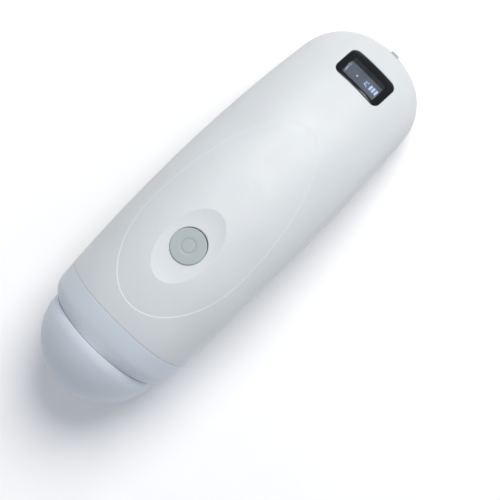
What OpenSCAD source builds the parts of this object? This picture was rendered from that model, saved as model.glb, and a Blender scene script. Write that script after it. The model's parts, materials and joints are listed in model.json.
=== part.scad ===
// Handheld wireless ultrasound scanner with a motor-driven sector head in an oil-filled dome.
// X runs from the tail to the dome, Z is up, and the origin is under the middle of the body.

/* [Casing] */
// Length from the tail end to the plane where the dome begins, along the sides
body_len = 167; // [164:0.5:169]
// Half of the greatest width of the grip
half_w = 32; // [31:0.25:33]
// Wall thickness of the moulded shells
wall = 2; // [1.8:0.1:2.2]
// Height of the parting line above the underside
parting_h = 7; // [6:0.5:8]
// Gap along the parting line
shut_gap = 0.2; // [0.1:0.05:0.3]

/* [Dome] */
// Outside radius of the acoustic dome
dome_r = 27.1; // [27:0.05:27.3]
// Thickness of the dome
dome_wall = 1.8; // [1.6:0.1:1.9]
// How far the dome points down from level, in degrees
dome_tilt = 12; // [11:0.5:13]

/* [Controls] */
// Distance of the scan button from the tail end
button_x = 116.3; // [114:0.5:118]
// Radius of the scan button
button_r = 7.6; // [7.2:0.1:7.8]
// Clearance round the scan button
button_gap = 0.3; // [0.2:0.05:0.4]
// How deep the thumb flat is cut into the crown
thumb_depth = 1.1; // [0.9:0.1:1.2]

/* [Display] */
// Width of the display lens, across the body
lens_w = 24; // [22:0.5:25]
// Height of the display lens, along the slope
lens_h = 15.2; // [14:0.2:16]
// Distance of the middle of the display from the tail end
display_x = 16.2; // [15.8:0.1:16.8]

/* [Charging port] */
// Width of the port's hole
port_w = 14.6; // [14:0.2:15]
// Height of the port's hole
port_h = 8.6; // [8.2:0.2:9]

/* [Scan head] */
// Teeth on the rotation gear
rotation_teeth = 48; // [48]
// Teeth on the swing gear
swing_teeth = 36; // [36]
// Teeth on both motor pinions
pinion_teeth = 12; // [12]
// Gear module
gear_module = 0.5; // [0.5]

/* [Hidden] */
$fn = 64;
eps = 0.01;

// Heights of the control points of the crown line and of the underside line, tail to nose.
crown_heights = [21, 48.5, 51, 55, 69, 52.5];
underside_heights = [-3.5, 1, 19.5, 25, 4.3, 0.8];
widest_c = 100;
tail_taper = 6;
nose_taper = 1.85;
tail_round_w = 24;
tail_round_h = 16;
crown_fullness = 0.3;
underside_fullness = 0.5;
shoulder_c = 160;
lean_start = 20;
seam_c = 152.3;
ring_r = 27;
ring_z = dome_r;
tail_open_c = 0.15;
tab_reach = 1.2;
// The box of the whole object runs from the port's pull tab to the tip of the dome.
mid_x = (body_len + dome_r - tab_reach) / 2;

// ---- the body's surface ----
function clamp01(v) = max(0, min(1, v));
function curve(p, t) =
    len(p) == 1 ? p[0] : curve([for (i = [0:len(p) - 2]) p[i] * (1 - t) + p[i + 1] * t], t);
function round_end(c, r, n) = pow(1 - pow(clamp01(1 - c / r), n), 1 / n);
function shoulder(c) = 1 - pow(clamp01((c - shoulder_c) / (body_len - shoulder_c)), 2.2);
function taper(c) =
    c < widest_c ? tail_taper * pow((widest_c - c) / widest_c, 2)
                 : nose_taper * pow((c - widest_c) / (body_len - widest_c), 2);
function lean(c) = dome_tilt * pow(clamp01((c - lean_start) / (seam_c - lean_start)), 1.3);
function crown(c) = curve(crown_heights, c / body_len);
function underside(c) = curve(underside_heights, c / body_len);
function mid_z(c) = ring_z + ((crown(c) + underside(c)) / 2 - ring_z) * shoulder(c);
function free_half_h(c) = (crown(c) - underside(c)) / 2 * round_end(c, tail_round_h, 2.2);
function half_h(c) =
    ring_r * cos(dome_tilt) + (free_half_h(c) - ring_r * cos(dome_tilt)) * shoulder(c);
function half_width(c) =
    ring_r + ((half_w - taper(c)) * round_end(c, tail_round_w, 2.25) - ring_r) * shoulder(c);
// A surface set in by d: it keeps its distance from the sides and from the tail end.
function inset_w(c, d) = min(half_width(c) - d, half_width(c - d));
function inset_h(c, d) = min(half_h(c) - d, half_h(c - d));
function signed_pow(v, n) = sign(v) * pow(abs(v), n);
function fullness(c, a) = 2 + (sin(a) >= 0 ? crown_fullness : underside_fullness) * shoulder(c);
function skin(c, a, d) =
    let (
        n = 2 / fullness(c, a),
        rise = max(inset_h(c, d) * signed_pow(sin(a), n), d - mid_z(c))
    )
    [c + rise * tan(lean(c)), inset_w(c, d) * signed_pow(cos(a), n), mid_z(c) + rise];
// Angle below level at which the parting line meets a section.
function parting_angle(c) =
    let (h = half_h(c)) asin(pow(1 - min(parting_h / h, 0.5), (2 + underside_fullness) / 2));
// Station whose topmost point lies at x, found by repeated correction.
function station_under(x, c, n) =
    n == 0 ? c : station_under(x, x - half_h(c) * tan(lean(c)), n - 1);
function crown_z(x) = let (c = station_under(x, x, 8)) mid_z(c) + half_h(c);
function crown_slope(x, step) = atan((crown_z(x + step) - crown_z(x - step)) / (2 * step));

// ---- closed meshes over grids of points ----
function grid_faces(rows, cols, first, flip) = [
    for (i = [0:rows - 2], j = [0:cols - 2], k = [0, 1])
        let (
            p = first + i * cols + j,
            tri = k == 0 ? [p, p + 1, p + cols + 1] : [p, p + cols + 1, p + cols]
        )
        flip ? [tri[0], tri[2], tri[1]] : tri
];
function edge_faces(a, b) = [
    for (i = [0:len(a) - 2], k = [0, 1]) k == 0 ? [a[i], b[i], b[i + 1]] : [a[i], b[i + 1], a[i + 1]]
];
// A wall between two grids of the same size: outer points first, then inner points.
module walled_patch(outer, inner) {
    rows = len(outer);
    cols = len(outer[0]);
    n = rows * cols;
    first_row = [for (j = [0:cols - 1]) j];
    last_row = [for (j = [0:cols - 1]) n - cols + j];
    first_col = [for (i = [0:rows - 1]) i * cols];
    last_col = [for (i = [0:rows - 1]) i * cols + cols - 1];
    points = concat([for (r = outer) each r], [for (r = inner) each r]);
    polyhedron(points, concat(
        grid_faces(rows, cols, 0, true),
        grid_faces(rows, cols, n, false),
        edge_faces([for (v = first_row) v + n], first_row),
        edge_faces(last_row, [for (v = last_row) v + n]),
        edge_faces(first_col, [for (v = first_col) v + n]),
        edge_faces([for (v = last_col) v + n], last_col)
    ));
}
// A solid through closed rings of points, with flat ends.
module ringed_solid(rings) {
    rows = len(rings);
    cols = len(rings[0]);
    closed = [for (i = [0:rows - 2], j = [0:cols - 1], k = [0, 1])
        let (p = i * cols + j, q = i * cols + (j + 1) % cols)
        k == 0 ? [p, q + cols, q] : [p, p + cols, q + cols]];
    start = [[for (j = [0:cols - 1]) j]];
    end = [[for (j = [cols - 1:-1:0]) (rows - 1) * cols + j]];
    polyhedron([for (r = rings) each r], concat(closed, start, end));
}
function turn_right(t) = cross(t, [0, 1, 0]) / norm(cross(t, [0, 1, 0]));
function wire_ring(p, t, r) =
    let (s = turn_right(t), u = cross(s, t) / norm(t))
    [for (k = [0:7]) p + r * (cos(45 * k) * s - sin(45 * k) * u)];
// A round wire along the smooth curve of a few control points.
module wire(control, r, rings = 14) {
    path = [for (i = [0:rings]) curve(control, i / rings)];
    ringed_solid([for (i = [0:rings])
        wire_ring(path[i], path[min(i + 1, rings)] - path[max(i - 1, 0)], r)]);
}
// A flat ribbon cable, width w across Y, along the smooth curve of a few [x, z] control points.
module ribbon(control, w, t = 0.2, steps = 12) {
    path = [for (i = [0:steps]) curve(control, i / steps)];
    side = [for (i = [0:steps])
        let (d = path[min(i + 1, steps)] - path[max(i - 1, 0)]) [-d[1], d[0]] / norm(d) * t / 2];
    translate([0, w / 2, 0]) rotate([90, 0, 0]) linear_extrude(w)
        polygon(concat(path + side, [for (i = [steps:-1:0]) path[i] - side[i]]));
}

// ---- places ----
module place() translate([-mid_x, 0, 0]) children();
// Scan head: origin at the middle of the dome, +X out along the dome's axis.
module head() translate([body_len, 0, ring_z]) rotate([0, dome_tilt, 0]) children();
// Deck: the plane of the circuit board in the grip, rising towards the nose.
deck_c = 60;
deck_z = 31;
deck_rise = 12;
module deck() translate([deck_c, 0, deck_z]) rotate([0, -deck_rise, 0]) children();
// Button: origin on the crown, Z along the button's travel.
module at_button()
    translate([button_x, 0, crown_z(button_x)])
    rotate([0, -crown_slope(button_x, 8), 0]) children();
// Display: origin on the crown, Z out of the lens.
module at_display()
    translate([display_x, 0, crown_z(display_x)])
    rotate([0, -crown_slope(display_x, 6), 0]) children();
port_z = mid_z(0);
module at_port() translate([0, 0, port_z]) rotate([90, 0, 90]) children();

// ---- shared shapes ----
module tube_x(x, len, r, bore = 0) translate([x, 0, 0]) rotate([0, 90, 0]) tube_z(len, r, bore);
module tube_y(y, len, r, bore = 0) translate([0, y, 0]) rotate([-90, 0, 0]) tube_z(len, r, bore);
module tube_z(len, r, bore = 0) {
    difference() {
        cylinder(r = r, h = len);
        if (bore > 0) translate([0, 0, -1]) cylinder(r = bore, h = len + 2);
    }
}
module lathe_x() rotate([0, 90, 0]) rotate_extrude($fn = 96) children();
module block(x0, x1, y0, y1, z0, z1) translate([x0, y0, z0]) cube([x1 - x0, y1 - y0, z1 - z0]);
module rounded_rect(w, h, r) {
    square([w - 2 * r, h], center = true);
    square([w, h - 2 * r], center = true);
    for (x = [-1, 1], y = [-1, 1]) translate([x * (w / 2 - r), y * (h / 2 - r)]) circle(r);
}
module around(r, count) for (i = [0:count - 1]) rotate([i * 360 / count, 0, 0]) translate([0, 0, r]) children();
// A pan-head screw that points along -Z with its head above the origin.
module screw(len, r, head_r, head_h) {
    translate([0, 0, -len]) cylinder(r = r, h = len + eps);
    difference() {
        cylinder(r = head_r, h = head_h);
        translate([0, 0, head_h / 2]) cylinder(r = head_r / 2, h = head_h, $fn = 6);
    }
}

// ---- gears ----
pressure_angle = 25;
gear_clearance = 0.08;
addendum = 0.85;
tooth_share = 0.9;
function involute(a) = tan(a) * 180 / PI - a;
function tooth_half_angle(teeth, r) =
    let (base_r = gear_module * teeth / 2 * cos(pressure_angle))
    90 / teeth * tooth_share + involute(pressure_angle) - involute(acos(min(1, base_r / r)));
function gear_outline(teeth) =
    let (
        pitch_r = gear_module * teeth / 2,
        root_r = pitch_r - 1.15 * gear_module,
        tip_r = pitch_r + addendum * gear_module,
        flank = [for (k = [0:4]) root_r + (tip_r - root_r) * k / 4]
    )
    [for (i = [0:teeth - 1], side = [-1, 1], k = [0:4])
        let (
            r = flank[side < 0 ? k : 4 - k],
            a = i * 360 / teeth + side * tooth_half_angle(teeth, r)
        )
        r * [cos(a), sin(a)]];
module gear(teeth, width, bore) {
    linear_extrude(width) difference() {
        polygon(gear_outline(teeth));
        circle(bore);
    }
}
function gear_centres(teeth) = gear_module * (teeth + pinion_teeth) / 2 + gear_clearance;

// ---- casing ----
shell_rows = 30;
side_cols = 4;
top_cols = 20;
under_cols = 10;
function station(i) = tail_open_c + (seam_c - tail_open_c) * pow(i / shell_rows, 1.5);
function inner_station(c, d) = c + d * clamp01(1 - c / 20);
function upper_angle(c, j) =
    j <= side_cols ? -parting_angle(c) * (1 - j / side_cols)
    : j <= side_cols + top_cols ? 180 * (j - side_cols) / top_cols
    : 180 + parting_angle(c) * (j - side_cols - top_cols) / side_cols;
function lower_angle(c, j) =
    let (gap = asin(min(1, shut_gap / half_h(c))), span = 180 - 2 * parting_angle(c) - 2 * gap)
    180 + parting_angle(c) + gap + span * j / under_cols;
// A solid that fills the body up to d inside its surface, from one station to another.
module core(d, c0, c1, rows = 14, cols = 28)
    ringed_solid([for (i = [0:rows])
        let (c = c0 + (c1 - c0) * i / rows) [for (j = [0:cols - 1]) skin(c, 360 * j / cols, d)]]);

rear_screw = [26, 17, 10.4];
front_screw = [121, 18.5, 18.8];
housing_screw_places = [for (p = [rear_screw, front_screw], s = [-1, 1]) [p[0], s * p[1], p[2]]];
insert_len = 5;
screw_head_z = 2.2;
deck_posts = [[-31, 14], [-31, -14], [31, 14], [31, -14]];
deck_top = 2.2;
deck_bottom = 1;

module housing_bosses() {
    for (p = housing_screw_places) {
        translate(p) cylinder(r = 3.1, h = 7);
        block(p[0] - 1, p[0] + 1, min(p[1], 2 * p[1]), max(p[1], 2 * p[1]), p[2] + 2, p[2] + 9);
    }
}
module port_hole(grow) at_port() translate([0, 0, -3]) linear_extrude(12)
    rounded_rect(port_w + grow, port_h + grow, (port_h + grow) / 2 - eps);

button_floor = -thumb_depth;
sleeve_len = 5;
sleeve_end = button_floor - sleeve_len;
board_z = -13;
module upper_shell() {
    color([0.90, 0.92, 0.94]) difference() {
        union() {
            walled_patch(
                [for (i = [0:shell_rows]) let (c = station(i))
                    [for (j = [0:top_cols + 2 * side_cols]) skin(c, upper_angle(c, j), 0)]],
                [for (i = [0:shell_rows]) let (c = station(i), k = inner_station(c, wall))
                    [for (j = [0:top_cols + 2 * side_cols]) skin(k, upper_angle(c, j), wall)]]
            );
            intersection() {
                core(wall / 2, 14, 134);
                housing_bosses();
            }
            at_button() {
                translate([0, 0, sleeve_end])
                    tube_z(sleeve_len - 0.3, button_r + button_gap + 2.2, button_r);
                for (x = [-9, 9], y = [-8, 8]) translate([x, y, board_z + 1]) cylinder(r = 1.7, h = 11.2);
            }
        }
        at_button() {
            translate([0, 0, button_floor]) cylinder(r = 26, h = 10);
            translate([0, 0, -8]) cylinder(r = button_r + button_gap, h = 10);
            for (x = [-9, 9], y = [-8, 8]) translate([x, y, board_z]) cylinder(r = 0.6, h = 5);
        }
        at_display() translate([0, 0, -6]) linear_extrude(12)
            rounded_rect(lens_h + 0.3, lens_w + 0.3, 2.5);
        port_hole(0);
        for (p = housing_screw_places) translate([p[0], p[1], p[2] - 1]) cylinder(r = 1.9, h = insert_len + 1.2);
    }
}
module lower_shell() {
    color([0.88, 0.90, 0.92]) difference() {
        union() {
            walled_patch(
                [for (i = [0:shell_rows]) let (c = station(i))
                    [for (j = [0:under_cols]) skin(c, lower_angle(c, j), 0)]],
                [for (i = [0:shell_rows]) let (c = station(i), k = inner_station(c, wall))
                    [for (j = [0:under_cols]) skin(k, lower_angle(c, j), wall)]]
            );
            intersection() {
                core(wall / 2, 5, 134);
                union() {
                    for (p = housing_screw_places) translate([p[0], p[1], 0]) cylinder(r = 3.4, h = p[2] - shut_gap);
                    deck() for (p = deck_posts) translate([p[0], p[1], deck_bottom - 24]) cylinder(r = 2.4, h = 24);
                    for (y = [-5, 5]) translate([20, y, 0]) cylinder(r = 1.8, h = port_z - 2.6);
                }
            }
        }
        port_hole(0);
        for (p = housing_screw_places) {
            translate([p[0], p[1], -1]) cylinder(r = 2.5, h = p[2] - 1.2 + 1);
            translate([p[0], p[1], 0]) cylinder(r = 1.4, h = 40);
        }
        deck() for (p = deck_posts) translate([p[0], p[1], deck_bottom - 5]) cylinder(r = 0.8, h = 8);
    }
}
// The seal lies along the parting line, in the middle of the wall.
module casing_seal() {
    function seal_row(side, c, d, spread) =
        [for (e = [-1, 1]) let (a = parting_angle(c) + e * spread) skin(c, side > 0 ? -a : 180 + a, d)];
    seal_d = wall * 1.15;
    color([0.25, 0.27, 0.30]) for (side = [-1, 1]) {
        rows = [for (i = [6:shell_rows - 2]) station(i)];
        rings = [for (c = rows)
            let (o = seal_row(side, c, seal_d, 1.6), n = seal_row(side, c, seal_d + 0.9, 1.6))
            side > 0 ? [o[0], n[0], n[1], o[1]] : [o[1], n[1], n[0], o[0]]];
        ringed_solid(rings);
    }
}

// ---- nose ----
seam_x = -15;
spigot_x = -21;
spigot_r = 24.8;
spigot_bore = 19.5;
skirt_r = 25.3;
skirt_bore = 24;
skirt_len = 8;
bulkhead_x = -24;
screw_ring_r = 22.6;
module nose_collar() {
    color([0.78, 0.82, 0.87]) difference() {
        union() {
            core(0, seam_c + 0.15, body_len, rows = 8, cols = 56);
            head() tube_x(spigot_x, seam_x - spigot_x + 1, spigot_r);
        }
        head() {
            translate([-30, 0, 0]) rotate([0, 90, 0]) cylinder(r = spigot_bore, h = 40);
            translate([-13, 0, 0]) rotate([0, 90, 0]) cylinder(r = skirt_bore, h = 40);
            translate([-skirt_len - 0.1, 0, 0]) rotate([0, 90, 0]) cylinder(r = skirt_r + 0.08, h = 40);
            around(screw_ring_r, 6) rotate([0, 90, 0]) translate([0, 0, spigot_x - 1]) cylinder(r = 0.65, h = 5);
            lathe_x() translate([spigot_r, -18]) square([2, 1.5], center = true);
        }
    }
}
module collar_seal() color([0.15, 0.16, 0.18]) head() lathe_x() translate([spigot_r - 0.3, -18]) circle(0.6, $fn = 24);
module acoustic_dome() {
    inner_r = dome_r - dome_wall;
    color([0.78, 0.82, 0.87]) head() lathe_x() difference() {
        union() {
            intersection() {
                circle(dome_r, $fn = 160);
                square(dome_r + 1);
            }
            translate([0, -skirt_len]) square([skirt_r, skirt_len + 1]);
        }
        translate([-1, -skirt_len - 1]) square([skirt_bore + 1, skirt_len + 1]);
        intersection() {
            circle(inner_r, $fn = 160);
            translate([-1, 3]) square(inner_r + 2);
        }
        translate([0, -1]) polygon([[-1, 0], [skirt_bore, 0], [skirt_bore, 1], [25, 4.2], [-1, 4.2]]);
        translate([-40, -40]) square([40, 80]);
    }
}

// ---- scan button ----
button_top = button_floor + 0.35;
button_travel = 0.8;
stem_end = -8.6;
boot_h = 1.3;
module scan_button() {
    color([0.70, 0.74, 0.76]) at_button() difference() {
        union() {
            translate([0, 0, sleeve_end - 0.2]) cylinder(r = button_r, h = button_top - sleeve_end + 0.2);
            translate([0, 0, sleeve_end - 1.3]) cylinder(r = button_r + 1.3, h = 0.9);
            translate([0, 0, sleeve_end - 0.5]) cylinder(r = button_r, h = 0.4);
            translate([0, 0, stem_end]) cylinder(r = 2, h = 3);
        }
        translate([0, 0, button_top - 0.15]) tube_z(1, 3.1, 2.7);
        translate([0, 0, sleeve_end - 2]) tube_z(4.5, button_r - 1.2, 3);
    }
}
module button_boot() color([0.62, 0.66, 0.68]) at_button() {
    translate([0, 0, stem_end - boot_h]) cylinder(r = 2.6, h = boot_h - 0.02);
    translate([0, 0, stem_end - boot_h]) tube_z(0.6, 10, 2.5);
}
module tactile_switch() color([0.20, 0.20, 0.22]) at_button() {
    translate([-3, -3, board_z + 1]) cube([6, 6, 1.5]);
    translate([0, 0, board_z + 2.4]) cylinder(r = 1.6, h = 0.6);
}
module button_board() color([0.10, 0.40, 0.25]) at_button() difference() {
    translate([-11.5, -10, board_z]) cube([23, 20, 1 - eps]);
    for (x = [-9, 9], y = [-8, 8]) translate([x, y, board_z - 1]) cylinder(r = 0.9, h = 4);
}
module button_flex() color([0.80, 0.55, 0.20])
    ribbon([[106, 44.8], [100, 45.5], [98, 44], [92.2, 41.3]], 7);

// ---- display ----
lens_t = 1;
module display_prism(w, h, r) at_display() translate([0, 0, -6]) linear_extrude(12) rounded_rect(h, w, r);
module display_lens() {
    function layer(d) = [for (i = [0:8]) let (c = 6 + 20 * i / 8)
        [for (j = [0:12]) skin(c, 58 + 64 * j / 12, d)]];
    color([0.05, 0.05, 0.06]) intersection() {
        walled_patch(layer(0), layer(lens_t));
        display_prism(lens_w, lens_h, 2.4);
    }
}
module display_gasket() {
    function layer(d) = [for (i = [0:8]) let (c = 6 + 20 * i / 8)
        [for (j = [0:12]) skin(c, 58 + 64 * j / 12, d)]];
    color([0.12, 0.12, 0.13]) difference() {
        intersection() {
            walled_patch(layer(lens_t + 0.02), layer(lens_t + 1.2));
            display_prism(lens_w - 0.6, lens_h - 0.6, 2.2);
        }
        display_prism(19, 9, 0.8);
    }
}
module display_panel() color([0.30, 0.36, 0.42]) at_display() {
    block(-5.5, 5.5, -10.5, 10.5, -5.4, -3.9);
    block(-4.2, 4.2, -9.2, 9.2, -3.91, -2.9);
}
module display_flex() color([0.80, 0.55, 0.20])
    ribbon([[23.8, 30.9], [27, 32.6], [27.5, 27.5], [32.7, 28.1]], 6);

// ---- charging port ----
cover_gap = 0.3;
module port_cover() {
    color([0.72, 0.75, 0.77]) {
        at_port() {
            linear_extrude(1.2) rounded_rect(port_w - 2 * cover_gap, port_h - 2 * cover_gap, port_h / 2 - cover_gap - eps);
            translate([0, 0, 1.1]) linear_extrude(1) rounded_rect(port_w - 2.6, port_h - 2.6, port_h / 2 - 1.3 - eps);
        }
        block(-tab_reach, 0.4, -1.85, 1.85, port_z - port_h / 2 + 0.6, port_z - port_h / 2 + 2.4);
    }
}
module port_shroud() color([0.35, 0.37, 0.40]) at_port() difference() {
    translate([0, 0, 4.2]) linear_extrude(3.4) rounded_rect(port_w + 0.4, port_h, port_h / 2 - eps);
    translate([0, 0, 3]) linear_extrude(6) rounded_rect(13, 7, 3.5 - eps);
}
module charging_socket() color([0.75, 0.76, 0.78]) difference() {
    at_port() translate([0, 0, 7.62]) linear_extrude(7.3) rounded_rect(9, 3.2, 1.6 - eps);
    at_port() translate([0, 0, 7]) linear_extrude(6.5) rounded_rect(8.3, 2.5, 1.25 - eps);
}
module charge_board() color([0.10, 0.40, 0.25]) {
    block(8, 27, -8, 8, port_z - 2.6, port_z - 1.6 - eps);
    block(17, 22, -3, 3, port_z - 1.61, port_z - 0.4);
}
module charge_flex() color([0.80, 0.55, 0.20])
    ribbon([[27.1, port_z - 2], [31, port_z], [23, 19], [26.1, 25.2]], 6);

// ---- power and electronics ----
module battery() color([0.55, 0.60, 0.68]) deck()
    translate([-1, 0, -10.6]) linear_extrude(8.6) rounded_rect(48, 30, 3);
module battery_tray() color([0.30, 0.32, 0.35]) deck() difference() {
    block(-26.4, 24.4, -16.4, 16.4, -12, -6);
    block(-25.2, 23.2, -15.2, 15.2, -10.8, 0);
    for (x = [-13, 0, 11]) block(x - 4, x + 4, -9, 9, -13, -10);
}
module battery_lead() color([0.75, 0.15, 0.12]) deck() for (y = [-1.2, 1.2])
    wire([[23.1, y, -4.4], [26, y, -4.4], [30, y, -4], [29, y, -1], [27, y, 0.3]], 0.5);
module main_board() color([0.08, 0.38, 0.24]) deck() difference() {
    block(-34, 34, -17.5, 17.5, deck_bottom, deck_top);
    for (p = deck_posts) translate([p[0], p[1], 0]) cylinder(r = 1.1, h = 5);
}
module board_chips() color([0.12, 0.12, 0.13]) deck() {
    block(-6, 6, 5, 15, deck_top, 3.4);
    block(10, 19, 6, 15, deck_top, 3.2);
    block(-28, -20, 4.2, 13, deck_top, 3.2);
    block(-27, -22, -3.4, 3.4, deck_top, 3.6);
    block(28, 33, -4, 4, deck_top, 3.8);
    for (y = [-14, -10, -6]) block(24, 26, y, y + 2.5, deck_top, 3);
}
module shield_can() color([0.72, 0.73, 0.75]) deck() difference() {
    block(-12, 12, -16, 2, deck_top, 5);
    block(-11.8, 11.8, -15.8, 1.8, deck_top - 1, 4.8);
}
module wireless_module() color([0.60, 0.62, 0.64]) deck() {
    block(15, 27, -16.5, -15, deck_top, 4.4);
    block(13, 23, -14, 3, deck_top, 4.2);
}
module board_screws() color([0.65, 0.66, 0.68]) {
    deck() for (p = deck_posts) translate([p[0], p[1], deck_top]) screw(5, 0.8, 1.9, 1.2);
    at_button() for (x = [-9, 9], y = [-8, 8])
        translate([x, y, board_z]) rotate([180, 0, 0]) screw(4, 0.6, 1.3, 0.9);
}

// ---- housing fasteners ----
module housing_screws() color([0.65, 0.66, 0.68]) for (p = housing_screw_places)
    translate([p[0], p[1], p[2] - 1.3]) rotate([180, 0, 0]) screw(5.5, 1.2, 2.2, 1.3);
module thread_inserts() color([0.80, 0.65, 0.30]) for (p = housing_screw_places)
    translate([p[0], p[1], p[2] + 0.1]) tube_z(insert_len - 0.1, 1.9, 1.25);
module screw_caps() color([0.80, 0.82, 0.84]) for (p = housing_screw_places)
    translate([p[0], p[1], p[2] - 3.6]) cylinder(r = 2.45, h = 0.9);

// ---- scan head: fixed pieces ----
shaft_r = 3;
bearing_r = 5;
bearing_w = 3;
boss_end = -33;
gear_x = -37.6;
gear_w = 3;
rotation_pinion_y = -gear_centres(rotation_teeth);
motor_r = 7.5;
module bulkhead() {
    color([0.55, 0.58, 0.62]) head() difference() {
        union() {
            tube_x(bulkhead_x, spigot_x - bulkhead_x, 24.4);
            tube_x(boss_end, bulkhead_x - boss_end + 1, 6.4);
        }
        tube_x(-50, 60, shaft_r + 0.4);
        tube_x(spigot_x - bearing_w, 10, bearing_r);
        tube_x(boss_end - 1, bearing_w + 1, bearing_r);
        around(screw_ring_r, 6) tube_x(-30, 12, 0.9);
        lathe_x() translate([20.5, spigot_x]) square([1.2, 2.2], center = true);
        translate([0, 14, 0]) tube_x(-30, 12, 1.5);
        for (z = [-9, 9]) translate([0, rotation_pinion_y, z]) tube_x(-30, 12, 0.6);
    }
}
module bulkhead_screws() color([0.65, 0.66, 0.68]) head()
    around(screw_ring_r, 6) translate([bulkhead_x, 0, 0]) rotate([0, -90, 0]) screw(6, 0.65, 1.5, 1);
module chamber_seal() color([0.15, 0.16, 0.18]) head() lathe_x() translate([20.5, spigot_x - 0.56]) circle(0.54, $fn = 24);
module fill_plug() color([0.80, 0.65, 0.30]) head() translate([bulkhead_x, 14, 0]) rotate([0, -90, 0]) screw(2.8, 1.5, 2.3, 1.2);
module front_bearing() color([0.70, 0.71, 0.73]) head() tube_x(spigot_x - bearing_w, bearing_w, bearing_r, shaft_r + 0.04);
module rear_bearing() color([0.70, 0.71, 0.73]) head() tube_x(boss_end, bearing_w, bearing_r, shaft_r + 0.04);
module shaft_seal() color([0.15, 0.16, 0.18]) head() tube_x(spigot_x, 1.6, 5.4, shaft_r + 0.05);
module rotation_motor() color([0.62, 0.63, 0.66]) head() translate([0, rotation_pinion_y, 0]) difference() {
    union() {
        tube_x(bulkhead_x - 9.4, 9.4, motor_r);
        block(bulkhead_x - 1, bulkhead_x, -2, 2, -10.6, 10.6);
    }
    tube_x(-60, 60, 0.82);
    for (z = [-9, 9]) translate([0, 0, z]) tube_x(-30, 12, 0.9);
}
module motor_screws() color([0.65, 0.66, 0.68]) head() for (z = [-9, 9])
    translate([bulkhead_x - 1, rotation_pinion_y, z]) rotate([0, -90, 0]) screw(3.4, 0.6, 1.2, 0.9);
module hall_sensor() color([0.12, 0.12, 0.13]) head() block(spigot_x, spigot_x + 1.2, -2, 2, 12, 15);
module rotation_pinion() color([0.80, 0.65, 0.30]) head() translate([0, rotation_pinion_y, 0]) {
    translate([gear_x, 0, 0]) rotate([0, 90, 0]) rotate(180 / pinion_teeth) gear(pinion_teeth, gear_w, 0.5);
    tube_x(gear_x - 0.6, 12.6, 0.75);
}

// ---- scan head: turning pieces ----
table_x = -16.5;
table_t = 2.5;
arm_y0 = 13;
arm_y1 = 15.5;
swing_shaft_r = 1.5;
swing_bearing_r = 3;
swing_angle = 135;
swing_pinion_d = gear_centres(swing_teeth);
swing_motor_r = 3.5;
swing_gear_y = 9.8;
saddle_x = -8.6;
swing_motor_place = swing_pinion_d * [cos(swing_angle), -sin(swing_angle)];
strap_screw_z = [-13.8, -3.3];
module at_swing_motor() rotate([0, swing_angle, 0]) translate([swing_pinion_d, 0, 0]) rotate([0, -swing_angle, 0]) children();
module rotation_shaft() color([0.72, 0.73, 0.75]) head() tube_x(gear_x - 1, table_x + table_t - gear_x + 1, shaft_r, 1.5);
module rotation_gear() color([0.92, 0.90, 0.84]) head() translate([gear_x, 0, 0]) rotate([0, 90, 0])
    gear(rotation_teeth, gear_w, shaft_r);
module turntable() {
    color([0.50, 0.53, 0.58]) head() difference() {
        union() {
            tube_x(table_x, table_t, 17);
            for (s = [-1, 1]) {
                block(table_x + 1, 0, min(s * arm_y0, s * arm_y1), max(s * arm_y0, s * arm_y1), -4.5, 4.5);
                tube_y(s > 0 ? arm_y0 : -arm_y1, arm_y1 - arm_y0, 4.5);
            }
            block(table_x + 1, saddle_x, -6, 6, -14.8, -2.3);
        }
        tube_x(-40, 60, shaft_r);
        tube_y(-20, 40, swing_bearing_r);
        at_swing_motor() {
            tube_y(-10, 20, swing_motor_r);
            block(0, 12, -10, 10, -3.5, 3.5);
        }
        for (z = strap_screw_z) translate([0, 0, z]) tube_x(-13, 10, 0.5);
    }
}
module home_magnet() color([0.45, 0.46, 0.50]) head() translate([0, 0, 13.5]) tube_x(table_x - 1.5, 1.5, 1.5);
module swing_bearings() color([0.70, 0.71, 0.73]) head() for (y = [arm_y0, -arm_y1])
    tube_y(y, arm_y1 - arm_y0, swing_bearing_r, swing_shaft_r + 0.04);
module swing_motor() color([0.62, 0.63, 0.66]) head() at_swing_motor() difference() {
    tube_y(-8, 16.6, swing_motor_r);
    tube_y(-4, 20, 0.55);
}
module motor_strap() color([0.72, 0.73, 0.75]) head() difference() {
    translate([0, 2, 0]) rotate([90, 0, 0]) linear_extrude(4) difference() {
        union() {
            translate(swing_motor_place) circle(swing_motor_r + 0.7);
            translate([saddle_x, -14.8]) square([0.6, 12.5]);
        }
        translate(swing_motor_place) circle(swing_motor_r + 0.02);
        translate([saddle_x - 10, -20]) square([10, 30]);
    }
    for (z = strap_screw_z) translate([saddle_x - 1, 0, z]) rotate([0, 90, 0]) cylinder(r = 0.6, h = 3);
}
module strap_screws() color([0.65, 0.66, 0.68]) head() for (z = strap_screw_z)
    translate([saddle_x + 0.6, 0, z]) rotate([0, 90, 0]) screw(3.2, 0.5, 0.9, 0.6);
module swing_pinion() color([0.80, 0.65, 0.30]) head() at_swing_motor() {
    translate([0, swing_gear_y, 0]) rotate([-90, 0, 0]) rotate(180 / pinion_teeth) gear(pinion_teeth, 2.2, 0.4);
    tube_y(-3.8, 16.2, 0.5);
}

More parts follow.
